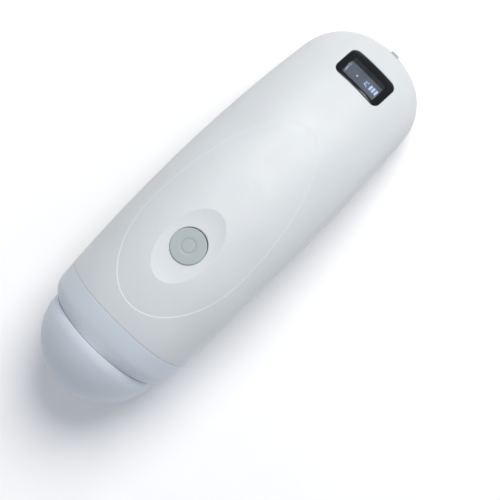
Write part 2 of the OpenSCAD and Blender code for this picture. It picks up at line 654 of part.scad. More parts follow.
// ---- scan head: swinging pieces ----
cup_r = 7.5;
element_r = 6.3;
module swing_shaft() color([0.72, 0.73, 0.75]) head() tube_y(-16, 32, swing_shaft_r);
module swing_gear() color([0.92, 0.90, 0.84]) head() translate([0, swing_gear_y, 0]) rotate([-90, 0, 0])
    gear(swing_teeth, 2.2, swing_shaft_r);
module transducer_cradle() {
    color([0.85, 0.86, 0.87]) head() difference() {
        union() {
            tube_y(-9, 18.3, 3.6);
            tube_x(5, 11, cup_r);
            block(0, 6, -4, 4, -3.4, 3.4);
        }
        tube_y(-20, 40, swing_shaft_r);
        tube_x(8, 20, element_r);
    }
}
module piezo_element() color([0.45, 0.40, 0.32]) head() tube_x(8, 10, element_r);
module matching_lens() color([0.20, 0.22, 0.25]) head() lathe_x() intersection() {
    translate([0, 18]) square([element_r, 6]);
    circle(20.6, $fn = 160);
}
// The lead leaves the shaft's mouth and is clipped beside the hub, clear of the swing.
module cradle_lead() color([0.30, 0.30, 0.32]) head()
    wire([[-13.8, 0, 0], [-12, 0, 0.5], [-10.5, 3, 2], [-10.5, 9, 4], [-11, 11, 6], [-13.8, 11, 6]], 0.5);
module transducer_cable() color([0.30, 0.30, 0.32]) {
    head() tube_x(-41, 26.5, 1.1);
    wire([[126.9, 0, 35.63], [122, 0, 36.9], [112, 0, 41], [104, 0, 41], [96, 0, 41], [94.3, 0, 40.7]], 1.1);
}

place() upper_shell();
place() lower_shell();
place() casing_seal();
place() nose_collar();
place() collar_seal();
place() acoustic_dome();
place() scan_button();
place() button_boot();
place() tactile_switch();
place() button_board();
place() button_flex();
place() display_lens();
place() display_gasket();
place() display_panel();
place() display_flex();
place() port_cover();
place() port_shroud();
place() charging_socket();
place() charge_board();
place() charge_flex();
place() battery();
place() battery_tray();
place() battery_lead();
place() main_board();
place() board_chips();
place() shield_can();
place() wireless_module();
place() board_screws();
place() housing_screws();
place() thread_inserts();
place() screw_caps();
place() bulkhead();
place() bulkhead_screws();
place() chamber_seal();
place() fill_plug();
place() front_bearing();
place() rear_bearing();
place() shaft_seal();
place() rotation_motor();
place() rotation_pinion();
place() motor_screws();
place() hall_sensor();
place() rotation_shaft();
place() rotation_gear();
place() turntable();
place() swing_bearings();
place() home_magnet();
place() swing_motor();
place() motor_strap();
place() strap_screws();
place() swing_pinion();
place() swing_shaft();
place() swing_gear();
place() transducer_cradle();
place() piezo_element();
place() matching_lens();
place() cradle_lead();
place() transducer_cable();
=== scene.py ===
"""Handheld ultrasound scanner: the visible pieces, their finishes and a small studio.

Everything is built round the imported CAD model, in its frame. Shapes are worked out in
millimetres from the tail end, as the CAD source does, and turned to metres when a mesh is made.
"""

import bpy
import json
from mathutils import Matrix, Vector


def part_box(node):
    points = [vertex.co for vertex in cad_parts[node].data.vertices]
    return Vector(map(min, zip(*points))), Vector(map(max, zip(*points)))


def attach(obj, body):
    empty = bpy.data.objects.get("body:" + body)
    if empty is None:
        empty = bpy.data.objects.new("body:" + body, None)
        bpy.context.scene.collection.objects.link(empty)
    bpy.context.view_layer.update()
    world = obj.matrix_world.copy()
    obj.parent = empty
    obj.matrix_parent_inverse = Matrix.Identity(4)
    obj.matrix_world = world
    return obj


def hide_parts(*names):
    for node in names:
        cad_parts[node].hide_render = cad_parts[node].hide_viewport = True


bl_info = {
    "name": "Ultrasound Scanner Looks",
    "version": (1, 0, 0),
    "blender": (4, 5, 0),
    "location": "View3D > Sidebar > Scanner",
    "description": "Builds the casing, nose, controls and finishes of a handheld ultrasound scanner",
    "category": "Object",
}

import json
import math

import bpy
import numpy as np
from mathutils import Matrix, Vector

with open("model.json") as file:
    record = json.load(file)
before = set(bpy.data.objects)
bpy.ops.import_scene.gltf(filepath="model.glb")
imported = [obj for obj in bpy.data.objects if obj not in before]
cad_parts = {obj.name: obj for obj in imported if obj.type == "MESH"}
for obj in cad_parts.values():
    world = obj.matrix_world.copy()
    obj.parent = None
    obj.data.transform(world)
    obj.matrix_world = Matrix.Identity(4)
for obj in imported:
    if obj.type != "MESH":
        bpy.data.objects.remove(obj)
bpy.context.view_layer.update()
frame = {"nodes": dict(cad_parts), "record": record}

MM = 0.001

# Casing, as in the CAD source. Lengths are in mm from the tail end, angles in radians.
BODY_LEN = 167.0
HALF_W = 32.0
WALL = 2.0
PARTING_H = 7.0
SHUT_GAP = 0.2
DOME_R = 27.1
DOME_WALL = 1.8
DOME_TILT = math.radians(12)
CROWN_HEIGHTS = (21, 48.5, 51, 55, 69, 52.5)
UNDERSIDE_HEIGHTS = (-3.5, 1, 19.5, 25, 4.3, 0.8)
WIDEST = 100.0
TAIL_TAPER = 6.0
NOSE_TAPER = 1.85
TAIL_ROUND_W = 24.0
TAIL_ROUND_H = 16.0
CROWN_FULLNESS = 0.3
UNDER_FULLNESS = 0.5
SHOULDER = 160.0
LEAN_START = 20.0
SEAM = 152.3
RING_R = 27.0
TAB_REACH = 1.2
PORT_W = 14.6
PORT_H = 8.6
COVER_GAP = 0.3
BUTTON_X = 116.3
BUTTON_R = 7.6
BUTTON_GAP = 0.3
BUTTON_FLOOR = -1.1
HOLE_EDGE = 0.2
SLEEVE_END = BUTTON_FLOOR - 5
STEM_END = -8.6
DISPLAY_X = 16.2
LENS_W = 24.0
LENS_H = 15.2
LENS_CORNER = 3.2
LENS_T = 1.0
PANEL_TOP = -2.9
PICTURE_W = 17.4
PICTURE_H = 7.2
PICTURE_SHIFT = 0.7
SCREW_PLACES = [(x, s * y, z) for x, y, z in ((26, 17, 10.4), (121, 18.5, 18.8)) for s in (-1, 1)]

# The port cover's tab is the CAD model's lowest X, so it tells where the tail end lies.
TAIL_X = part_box("port_cover")[0].x / MM + TAB_REACH


def linear(code):
    """sRGB hex to linear RGB: the dark end is a straight line, the rest a power of 2.4."""
    parts = [int(code[i:i + 2], 16) / 255 for i in (1, 3, 5)]
    return tuple(p / 12.92 if p <= 0.04045 else ((p + 0.055) / 1.055) ** 2.4 for p in parts)


# ---- settings ----

def length(name, default_mm, description):
    """A length setting, kept in metres."""
    return bpy.props.FloatProperty(
        name=name, description=description, default=default_mm * MM, unit="LENGTH", precision=5
    )


def colour(name, code, description):
    """A colour setting, kept as linear RGB."""
    return bpy.props.FloatVectorProperty(
        name=name, description=description, default=linear(code), subtype="COLOR", min=0, max=1
    )


class ScannerShape(bpy.types.PropertyGroup):
    """Details of the shape that the CAD model leaves plain."""

    dish_length: length("Dish length", 36.2, "Length of the thumb dish along the body")
    dish_width: length("Dish width", 22.9, "Width of the thumb dish across the body")
    dish_depth: length("Dish depth", 1.35, "Depth of the thumb dish in its middle")
    loop_start: length("Loop start", 48.3, "Distance of the loop's tail end from the tail")
    loop_widest: length("Loop widest", 112.0, "Distance of the loop's widest place from the tail")
    loop_end: length("Loop end", 149.6, "Distance of the loop's head end from the tail")
    loop_width: length("Loop width", 50.2, "Greatest width of the loop across the body")
    loop_step: length("Loop step", 0.18, "How far the crown lies lower inside the loop")
    edge_radius: length("Edge radius", 0.16, "Rounding of the shells' edges")
    window_w: length("Window width", 17.6, "Width of the clear window in the display lens")
    window_h: length("Window height", 9.6, "Height of the clear window in the display lens")
    window_shift: length("Window shift", 1.2, "How far the window lies from the lens's middle")


class ScannerColours(bpy.types.PropertyGroup):
    """Colours of the visible finishes."""

    shell: colour("Shell", "#CCD0D2", "White ABS of both shells")
    nose: colour("Nose", "#CAD2DA", "Pale blue-grey of the collar and the dome")
    button: colour("Button", "#A0A9AB", "Grey of the scan button")
    cover: colour("Port cover", "#A9AFB3", "Grey of the port cover and its tab")
    lens: colour("Lens", "#08090A", "Black print behind the display lens")
    screen: colour("Screen", "#66727E", "Grey-blue of the unlit screen")
    # This pale lilac also colours the painted reflections: glints drawn as glowing plates on the display.
    glow: colour("Symbols", "#C3CDF0", "Pale lilac of the lit symbols")
    floor: colour("Floor", "#FDFDFD", "Studio floor")


class ScannerStudio(bpy.types.PropertyGroup):
    """Camera and lights."""

    distance: bpy.props.FloatProperty(
        name="Distance", description="From the lens to the casing", default=1.1, unit="LENGTH")
    focal: bpy.props.FloatProperty(
        name="Focal length", description="Focal length in millimetres", default=193.4)
    roll: bpy.props.FloatProperty(
        name="Roll", description="How far the casing is seen from its +Y side",
        default=math.radians(4), subtype="ANGLE")
    world: bpy.props.FloatProperty(
        name="Room light", description="Strength of the even light of the room", default=0.44)
    key: bpy.props.FloatProperty(
        name="Softbox", description="Power of the large softbox", default=15, unit="POWER")
    fill: bpy.props.FloatProperty(
        name="Fill", description="Power of the fill light", default=2, unit="POWER")


# ---- the casing's surface, in mm from the tail end ----

def blended(heights, t):
    """Bezier curve of the control heights: neighbours are mixed in the share t until one is left."""
    heights = [h + 0 * t for h in heights]
    while len(heights) > 1:
        heights = [a * (1 - t) + b * t for a, b in zip(heights, heights[1:])]
    return heights[0]


def round_end(c, r, n):
    """Quarter superellipse of exponent n over the first r mm: 0 at the tail end, 1 from r on."""
    return (1 - np.clip(1 - c / r, 0, 1) ** n) ** (1 / n)


def shoulder(c):
    """1 along the grip, falling to 0 at the dome's ring."""
    return 1 - np.clip((c - SHOULDER) / (BODY_LEN - SHOULDER), 0, 1) ** 2.2


def lean(c):
    """Angle by which the section at station c leans forward: it grows with a power of 1.3."""
    return DOME_TILT * np.clip((c - LEAN_START) / (SEAM - LEAN_START), 0, 1) ** 1.3


def mid_z(c):
    """Height of a section's centre: half-way between crown and underside, then the ring's."""
    middle = (blended(CROWN_HEIGHTS, c / BODY_LEN) + blended(UNDERSIDE_HEIGHTS, c / BODY_LEN)) / 2
    return DOME_R + (middle - DOME_R) * shoulder(c)


def half_h(c):
    """Half height of a section: half the crown's height over the underside, rounded at the tail."""
    ring = RING_R * math.cos(DOME_TILT)
    free = (blended(CROWN_HEIGHTS, c / BODY_LEN) - blended(UNDERSIDE_HEIGHTS, c / BODY_LEN)) / 2
    return ring + (free * round_end(c, TAIL_ROUND_H, 2.2) - ring) * shoulder(c)


def half_width(c):
    """Half width of a section: it narrows with the square of the distance from the widest one."""
    taper = np.where(
        c < WIDEST,
        TAIL_TAPER * ((WIDEST - c) / WIDEST) ** 2,
        NOSE_TAPER * ((c - WIDEST) / (BODY_LEN - WIDEST)) ** 2,
    )
    return RING_R + ((HALF_W - taper) * round_end(c, TAIL_ROUND_W, 2.25) - RING_R) * shoulder(c)


def inset(size, c, d):
    """A section's half size set in by d, which also keeps d from the tail end."""
    return np.minimum(size(c) - d, size(c - d))


def skin(c, a, d=0.0):
    """Points of the casing at station c and angle a, set in by d.

    Each section is a superellipse: width times a power of the cosine, height times a power of
    the sine. It leans by lean(c) about its centre line and is cut off flat at the floor.
    """
    c, a, d = np.broadcast_arrays(np.asarray(c, float), a, d)
    up, out = np.sin(a), np.cos(a)
    n = 2 / (2 + np.where(up >= 0, CROWN_FULLNESS, UNDER_FULLNESS) * shoulder(c))
    rise = np.maximum(inset(half_h, c, d) * np.sign(up) * abs(up) ** n, d - mid_z(c))
    side = inset(half_width, c, d) * np.sign(out) * abs(out) ** n
    return np.stack([c + rise * np.tan(lean(c)), side, mid_z(c) + rise], -1)


def seen_at(x, y, side=1, d=0.0):
    """Station and angle of the skin over (side 1) or under (side -1) the plan point (x, y).

    The section's equation gives the angle from y, and the station is then corrected for the
    lean of the section, again and again.
    """
    x, y, d = np.broadcast_arrays(np.asarray(x, float), y, d)
    c = x
    for _ in range(24):
        n = 2 / (2 + (CROWN_FULLNESS if side > 0 else UNDER_FULLNESS) * shoulder(c))
        a = np.arccos(np.clip(abs(y) / inset(half_width, c, d), 0, 1) ** (1 / n))
        rise = np.maximum(side * inset(half_h, c, d) * np.sin(a) ** n, d - mid_z(c))
        c = x - rise * np.tan(lean(c))
    a = np.where(y < 0, math.pi - a, a)
    return c, side * a


def crown_z(x):
    """Height of the crown line over x."""
    return skin(*seen_at(x, 0.0))[..., 2]


def parting_angle(c):
    """Angle below level at which the parting line meets a section."""
    return np.arcsin((1 - np.minimum(PARTING_H / half_h(c), 0.5)) ** (1 + UNDER_FULLNESS / 2))


PORT_Z = float(mid_z(0.0))


def mouth_station(a):
    """Station at which the skin meets the port's slot at angle a, found by halving."""
    low, high = np.zeros_like(a), np.full_like(a, 4.0)
    for _ in range(40):
        middle = (low + high) / 2
        p = skin(middle, a)
        ends = np.maximum(abs(p[..., 1]) - (PORT_W - PORT_H) / 2, 0)
        outside = np.hypot(ends, p[..., 2] - PORT_Z) > PORT_H / 2
        low, high = np.where(outside, low, middle), np.where(outside, middle, high)
    return high


# ---- places ----

class Place:
    """A local frame at (x, z) on the middle plane, turned about Y so that its W axis points out."""

    def __init__(self, x, z, slope):
        self.x, self.z = float(x), float(z)
        self.cos, self.sin = math.cos(slope), math.sin(slope)

    def point(self, u, v, w):
        """Local (along, across, out) to the casing's coordinates."""
        u, v, w = np.broadcast_arrays(np.asarray(u, float), v, w)
        x = self.x + u * self.cos - w * self.sin
        return np.stack([x, v, self.z + u * self.sin + w * self.cos], -1)

    def on_skin(self, u, v, d=0.0):
        """Station and angle of the skin point at local (u, v): its height is found by repetition."""
        w = np.zeros(np.broadcast(u, v).shape)
        for _ in range(24):
            x = self.x + u * self.cos - w * self.sin
            c, a = seen_at(x, v, 1, d)
            w = (skin(c, a, d)[..., 2] - self.z) * self.cos - (x - self.x) * self.sin
        return c, a


def on_crown(x, step):
    """The place on the crown at x, as steep as the crown is between step before and after."""
    slope = math.atan((crown_z(x + step) - crown_z(x - step)) / (2 * step))
    return Place(x, crown_z(x), slope)


BUTTON = on_crown(BUTTON_X, 8)
DISPLAY = on_crown(DISPLAY_X, 6)
NOSE = Place(BODY_LEN, DOME_R, -DOME_TILT)


# ---- meshes ----

class Weave:
    """Points and faces of one piece, gathered net by net. Faces turn anticlockwise from outside."""

    def __init__(self):
        self.points, self.quads, self.triangles, self.count = [], [], [], 0

    def add(self, points):
        """Takes an array of points in mm and returns their numbers in the same layout."""
        points = np.asarray(points, float)
        numbers = self.count + np.arange(points[..., 0].size).reshape(points.shape[:-1])
        self.points.append(points.reshape(-1, 3))
        self.count += points[..., 0].size
        return numbers

    def net(self, grid, keep=None, flip=False):
        """Four-sided faces between neighbours of a grid of numbers, where keep is true."""
        quads = np.stack([grid[:-1, :-1], grid[:-1, 1:], grid[1:, 1:], grid[1:, :-1]], -1)
        quads = quads[np.ones(quads.shape[:2], bool) if keep is None else keep]
        self.quads.append(quads[:, ::-1] if flip else quads)

    def band(self, first, second, closed=True, flip=False):
        """Faces between two runs of numbers of the same length."""
        grid = np.stack([first, second])
        self.net(np.concatenate([grid, grid[:, :1]], 1) if closed else grid, flip=flip)

    def lid(self, ring, centre, flip=False):
        """Triangles from a closed ring of numbers to one point."""
        fan = np.stack([ring, np.roll(ring, -1), np.full_like(ring, self.add(centre))], -1)
        self.triangles.append(fan[:, ::-1] if flip else fan)

    def solid(self, name, crease=38):
        """The finished object, in metres in the shared frame, smooth but for creases in degrees."""
        mesh = bpy.data.meshes.new(name)
        points = (np.concatenate(self.points) + (TAIL_X, 0, 0)) * MM
        faces = np.concatenate(self.quads).tolist()
        if self.triangles:
            faces += np.concatenate(self.triangles).tolist()
        mesh.from_pydata(points, [], faces)
        mesh.validate()
        mesh.shade_smooth()
        mesh.set_sharp_from_angle(angle=math.radians(crease))
        made = bpy.data.objects.new(name, mesh)
        bpy.context.scene.collection.objects.link(made)
        return made


def window_loop(grid, i0, i1, j_minus, j_plus):
    """Numbers round a window of a grid, anticlockwise from above, from its head side's -Y corner."""
    step = 1 if j_plus > j_minus else -1
    return np.concatenate([
        grid[i1, j_minus:j_plus:step], grid[i1:i0:-1, j_plus],
        grid[i0, j_plus:j_minus:-step], grid[i0:i1, j_minus],
    ])


def in_steps(near, far, shares):
    """Plan points on the straight lines from one ring to another, at the given shares."""
    return [near + (far - near) * s for s in shares]


def rounding(distance, radius):
    """Depth of a quarter-round edge at a distance from the edge: radius there, 0 from radius on."""
    left = np.clip(1 - distance / radius, 0, 1)
    return radius * (1 - np.sqrt(1 - left ** 2))


def lathe(weave, place, profile, sides=128, y=0.0):
    """A profile of (radius, height) points, lowest first, turned about the place's W axis at y.

    The first and last points lie on the axis, so each end closes in one point.
    """
    turn = np.arange(sides) * 2 * math.pi / sides
    r, h = np.asarray(profile, float)[1:-1, :, None].transpose(1, 0, 2)
    grid = weave.add(place.point(r * np.cos(turn), y + r * np.sin(turn), h + 0 * turn))
    weave.net(np.concatenate([grid, grid[:, :1]], 1))
    weave.lid(grid[0], place.point(0, y, profile[0][1]), flip=True)
    weave.lid(grid[-1], place.point(0, y, profile[-1][1]))


def corner_arc(r, h, radius, start, end, steps=6):
    """Profile points on an arc about (r, h) between two angles in degrees."""
    turn = np.radians(np.linspace(start, end, steps))
    return [(r + radius * math.cos(t), h + radius * math.sin(t)) for t in turn]


def rounded_sides(w, h, r, counts):
    """Unit outline of a rounded rectangle, h along U and w along V, as corner centres and arc
    directions. It goes round anticlockwise from the corner at +U, -V, and each side has as many
    points as counts says, a fifth of them on each half corner."""
    corner_share = 0.2
    centres, ways = [], []
    for k, count in enumerate(counts):
        t = np.arange(count) / count
        bend = np.clip((t - 1 + corner_share) / corner_share, 0, 1)
        bend = math.pi / 4 * (bend - np.clip((corner_share - t) / corner_share, 0, 1))
        half_out, half_on = ((h, w) if k % 2 == 0 else (w, h))
        on = (half_on / 2 - r) * np.clip((2 * t - 1) / (1 - 2 * corner_share), -1, 1)
        out = np.full_like(on, half_out / 2 - r)
        turn = k * math.pi / 2
        swing = np.array([[math.cos(turn), math.sin(turn)], [-math.sin(turn), math.cos(turn)]])
        centres.append(np.stack([out, on], -1) @ swing)
        ways.append(np.stack([np.cos(bend), np.sin(bend)], -1) @ swing)
    return np.concatenate(centres), np.concatenate(ways)


# ---- casing ----

SHELL_EDGE = np.array([0.0, 0.12, 0.35, 0.65, 1.0])
# Share of a shell's width that its rounded edge along the parting line takes up.
EDGE_SHARE = 0.0025
# The tail end's rows follow the port's slot, by less from row to row until this one.
PORT_ROWS = 20
# Over this length from the tail end the inner net's stations move forward, to keep the wall.
TAIL_WALL_REACH = 20


def casing_stations(edge):
    """Stations of the shells' rows: close together round the tail end, then about 1.25 mm apart,
    and crowded into the rounded edge at the seam."""
    tail = TAIL_ROUND_W * np.linspace(0.2, 1, 46) ** 2.2
    grip = np.linspace(TAIL_ROUND_W, SEAM - edge, 104)[1:]
    return np.concatenate([tail, grip, SEAM - edge * (1 - SHELL_EDGE[1:])])


def casing_columns(count):
    """Shares of the way across a shell, crowded into its two edges along the parting line."""
    edge = EDGE_SHARE * SHELL_EDGE
    return np.concatenate([edge, np.linspace(0, 1, count)[1:-1], 1 - edge[::-1]])


def shell_grid(weave, columns, start, span, edge):
    """Outer and inner net of a shell: numbers, stations and angles.

    Angles run from start(c) over span(c). The first rows bend so that the tail edge follows
    the port's slot. The outer net sinks by a quarter round at its edges.
    """
    rows = casing_stations(edge)
    c = rows[:, None] + 0 * columns
    a = start(c) + span(c) * columns
    bend = np.clip(1 - np.arange(len(rows)) / PORT_ROWS, 0, 1)[:, None]
    c = c + (mouth_station(a[0]) - rows[0]) * bend
    side = np.minimum(columns, 1 - columns)[None, :]
    depth = np.maximum(rounding(side / EDGE_SHARE, 1) * edge * half_width(c) / HALF_W,
                       rounding(SEAM - c, edge))
    inner_c = c + WALL * np.clip(1 - c / TAIL_WALL_REACH, 0, 1)
    outer = weave.add(skin(c, a, depth))
    inner = weave.add(skin(inner_c, a, WALL))
    return outer, inner, c, a


def close_shell(weave, outer, inner, keep):
    """Both nets and the four rims between them."""
    weave.net(outer, keep)
    weave.net(inner, keep, flip=True)
    for near, far, flip in (
        (outer[0], inner[0], True), (outer[-1], inner[-1], False),
        (outer[:, 0], inner[:, 0], False), (outer[:, -1], inner[:, -1], True),
    ):
        weave.band(near, far, closed=False, flip=flip)


def cut_window(shape, *spans):
    """Mask of a net's faces that is false inside each window (i0, i1, j0, j1)."""
    keep = np.ones((shape[0] - 1, shape[1] - 1), bool)
    for i0, i1, j0, j1 in spans:
        keep[i0:i1, min(j0, j1):max(j0, j1)] = False
    return keep


def fill_window(weave, loop, rings, flip=False):
    """Bands from the innermost ring out to the window's loop. Returns the innermost numbers."""
    numbers = [weave.add(ring) for ring in rings] + [loop]
    for inner, outer in zip(numbers, numbers[1:]):
        weave.band(inner, outer, flip=not flip)
    return numbers[0]


class Crown:
    """The thumb dish and the loop on the crown, in plan, from the scene's settings."""

    def __init__(self, shape):
        self.dish = (shape.dish_length / MM / 2, shape.dish_width / MM / 2)
        self.dish_depth = shape.dish_depth / MM
        self.start, self.widest, self.end = (
            value / MM for value in (shape.loop_start, shape.loop_widest, shape.loop_end))
        self.loop_half = shape.loop_width / MM / 2
        self.step = shape.loop_step / MM

    def dish_radius(self, way):
        """Distance of the ellipse's edge from its middle, in direction way."""
        a, b = self.dish
        return a * b / np.hypot(b * np.cos(way), a * np.sin(way))

    def loop_share(self, x, y):
        """0 at the loop's widest middle and 1 on it: an ellipse, longer towards the tail."""
        reach = np.where(x < self.widest, self.widest - self.start, self.end - self.widest)
        return np.hypot((x - self.widest) / reach, y / self.loop_half)

    def loop_radius(self, way):
        """Distance of the loop from the button in direction way, found by halving."""
        low, high = np.zeros_like(way), np.full_like(way, 90.0)
        for _ in range(40):
            middle = (low + high) / 2
            share = self.loop_share(BUTTON_X + middle * np.cos(way), middle * np.sin(way))
            low, high = np.where(share > 1, low, middle), np.where(share > 1, middle, high)
        return high

    def depth(self, x, y):
        """Depth below the plain skin. The dish is a bowl that falls with the cube of the distance
        from its edge's ellipse. Inside the loop the crown lies a step lower, less towards the
        tail, and it rises to the plain skin over the last half millimetre."""
        a, b = self.dish
        share = np.hypot((x - BUTTON_X) / a, y / b)
        bowl = self.dish_depth * (1 - np.clip(share, 0, 1) ** 3)
        inside = 0.5
        slope = (self.loop_share(x, y + 0.05) - self.loop_share(x, y)) / 0.05
        steep = (self.loop_share(x + 0.05, y) - self.loop_share(x, y)) / 0.05
        away = (self.loop_share(x, y) - 1) / np.maximum(np.hypot(slope, steep), 1e-6)
        rise = np.clip(-away / inside, 0, 1)
        fade = np.clip((x - self.start + 6) / 55, 0.25, 1)
        return bowl + self.step * fade * rise * rise * (3 - 2 * rise)


def crown_rings(crown, near_x, near_y):
    """Plan rings round the button: dish, loop, and out to the window's edge (near_x, near_y)."""
    way = np.arctan2(near_y, near_x - BUTTON_X)
    ray = np.stack([np.cos(way), np.sin(way)], -1)
    hole = np.full_like(way, BUTTON_R + BUTTON_GAP + HOLE_EDGE)
    dish, loop = crown.dish_radius(way), crown.loop_radius(way)
    edge = np.hypot(near_x - BUTTON_X, near_y)
    radii = [hole + (dish - hole) * s for s in (0.05, 0.15, 0.28, 0.42, 0.56, 0.7, 0.82, 0.91, 0.97)]
    radii += [dish, dish + 0.12, dish + 0.4]
    radii += [dish + 0.4 + (loop - 1.4 - dish) * s for s in np.linspace(0.05, 0.97, 14)]
    radii += [loop + s for s in (-0.8, -0.6, -0.5, -0.4, -0.3, -0.2, -0.1, 0, 0.12, 0.4)]
    radii += [loop + 0.4 + (edge - loop - 0.4) * s for s in (0.2, 0.45, 0.72)]
    return [r[:, None] * ray + (BUTTON_X, 0) for r in radii]


def find_index(values, target):
    """Index of the value nearest to the target."""
    return int(abs(np.asarray(values) - target).argmin())


def build_upper_shell(shape):
    """Moulded upper shell: two nets with a window round the button and one round the display."""
    crown = Crown(shape)
    edge = shape.edge_radius / MM
    weave = Weave()
    outer, inner, c, a = shell_grid(
        weave, casing_columns(126), lambda s: -parting_angle(s),
        lambda s: math.pi + 2 * parting_angle(s), edge)
    rows = c[:, 0]
    mid_row = find_index(rows, 100)
    windows = []
    for c0, c1, spread in ((40, 147, 60), (5.5, 31, 43)):
        row = mid_row if c1 > 100 else find_index(rows, 16)
        j_plus, j_minus = (
            find_index(a[row], math.radians(90 + s * spread)) for s in (-1, 1))
        windows.append((find_index(rows, c0), find_index(rows, c1), j_minus, j_plus))
    keep = cut_window(outer.shape, *windows)
    close_shell(weave, outer, inner, keep)
    points = np.concatenate(weave.points)

    for k, (window, place) in enumerate(zip(windows, (BUTTON, DISPLAY))):
        near, far = window_loop(outer, *window), window_loop(inner, *window)
        rim, back = points[near][:, :2], points[far][:, :2]
        i0, i1, j_minus, j_plus = window
        if k == 0:
            way = np.arctan2(rim[:, 1], rim[:, 0] - BUTTON_X)
            hole_r = BUTTON_R + BUTTON_GAP

            def hole(grow, d=0.0):
                return place.on_skin((hole_r + grow) * np.cos(way), (hole_r + grow) * np.sin(way), d)
            plan = crown_rings(crown, *rim.T)
        else:
            counts = (abs(j_minus - j_plus), i1 - i0) * 2
            centres, ways = rounded_sides(LENS_W + 0.3, LENS_H + 0.3, LENS_CORNER + 0.1, counts)

            def hole(grow, d=0.0):
                u, v = (centres + (LENS_CORNER + 0.1 + grow) * ways).T
                return place.on_skin(u, v, d)
            start = skin(*hole(1.2))[:, :2]
            plan = in_steps(start, rim, (0, 0.2, 0.4, 0.6, 0.8))
        rings = []
        for turn in np.radians((0, 30, 60, 90)):
            station, angle = hole(edge * (1 - math.cos(turn)))
            at = skin(station, angle)
            sunk = edge * (1 - math.sin(turn))
            rings.append(skin(station, angle, crown.depth(at[:, 0], at[:, 1]) + sunk))
        rings += [skin(*seen_at(*p.T), crown.depth(*p.T)) for p in plan]
        lip = fill_window(weave, near, rings)
        hidden = [skin(*hole(grow, WALL), WALL) for grow in (0, edge)]
        first = hidden[-1][:, :2]
        hidden += [skin(*seen_at(*p.T, 1, WALL), WALL) for p in in_steps(first, back, (0.1, 0.3, 0.5, 0.75))]
        foot = fill_window(weave, far, hidden, flip=True)
        weave.band(lip, foot)
    return weave.solid("upper_shell_moulding")


def build_lower_shell(shape):
    """Moulded lower shell, with a blind screw pocket and its boss in each of four windows."""
    weave = Weave()

    def gap(c):
        return np.arcsin(np.minimum(1, SHUT_GAP / half_h(c)))
    outer, inner, c, a = shell_grid(
        weave, casing_columns(74), lambda s: math.pi + parting_angle(s) + gap(s),
        lambda s: math.pi - 2 * parting_angle(s) - 2 * gap(s), shape.edge_radius / MM)
    points = skin(c, a)
    windows = []
    for x, y, _ in SCREW_PLACES:
        station = seen_at(x, y, -1)[0]
        i = find_index(c[:, 0], station)
        j = find_index(points[i, :, 1], y)
        reach = find_index(c[:, 0], station + 6) - i
        windows.append((i - reach, i + reach, j - 6, j + 6))
    keep = cut_window(outer.shape, *windows)
    close_shell(weave, outer, inner, keep)
    every = np.concatenate(weave.points)
    for window, (x, y, z) in zip(windows, SCREW_PLACES):
        for net, radius, d, top in ((outer, 2.5, 0.0, z - 1.2), (inner, 3.4, WALL, z - SHUT_GAP)):
            loop = window_loop(net, *window)
            rim = every[loop][:, :2]
            way = np.arctan2(rim[:, 1] - y, rim[:, 0] - x)
            ray = np.stack([np.cos(way), np.sin(way)], -1)
            start = (x, y) + (radius + 0.25) * ray
            plan = in_steps(start, rim, (0, 0.15, 0.4, 0.7))
            rings = [skin(*seen_at(*p.T, -1, d), d) for p in plan]
            mouth = (x, y) + radius * ray
            brow = skin(*seen_at(*mouth.T, -1, d), d)
            lip = [np.column_stack([mouth, brow[:, 2] + 0.25 * (1 if d == 0 else 1)]), ]
            wall = [np.column_stack([mouth, np.full(len(mouth), top)])]
            inward = d > 0
            foot = fill_window(weave, loop, wall + lip + rings, flip=not inward)
            weave.lid(foot, (x, y, top), flip=not inward)
    return weave.solid("lower_shell_moulding")


# ---- nose ----

VALLEY_DEPTH = 0.9
COLLAR_REACH = 3.2
DOME_REACH = 5.0


def valley(distance, reach):
    """Depth of the soft valley between collar and dome, in mm, at a distance from the ring.

    It falls with the square of the distance, to nothing at its reach.
    """
    return VALLEY_DEPTH * np.clip(1 - distance / reach, 0, 1) ** 2


def nose_point(u, a, r):
    """Points r from the dome's axis at angle a, u along it from the ring."""
    return NOSE.point(u, r * np.cos(a), r * np.sin(a))


def build_collar(shape):
    """Collar: the casing's skin from the seam to the ring, then back through its stepped bore."""
    edge = shape.edge_radius / MM
    a = np.arange(192) * 2 * math.pi / 192
    start = SEAM + 0.08
    c = np.concatenate([start + edge * SHELL_EDGE, np.linspace(start + edge, BODY_LEN - 0.12, 30)[1:]])
    c, a = np.meshgrid(c, a, indexing="ij")
    flesh = skin(c, a, rounding(c - start, edge))
    centre = np.stack([c + 0 * a, 0 * c, mid_z(c)], -1)
    away = flesh - centre
    sunk = valley(BODY_LEN - c, COLLAR_REACH)
    flesh = flesh - away / np.linalg.norm(away, axis=-1, keepdims=True) * sunk[..., None]
    # (u, radius) back from the rim: past the dome's skirt, the bulkhead's seat and the spigot.
    bore = [(-0.12, 25.85), (-0.25, 25.7), (-0.25, 25.38), (-8.1, 25.38), (-8.1, 24), (-13, 24),
            (-13, 19.5), (-21, 19.5), (-21, 24.4), (-20.6, 24.8), (-15.2, 24.8)]
    polar = np.arctan2(flesh[-1, :, 2] - DOME_R, flesh[-1, :, 1])
    back = [nose_point(u, polar, r) for u, r in bore]
    weave = Weave()
    grid = weave.add(np.concatenate([flesh, np.stack(back)]))
    grid = np.concatenate([grid, grid[:1]])
    weave.net(np.concatenate([grid, grid[:, :1]], 1))
    return weave.solid("nose_collar_moulding")


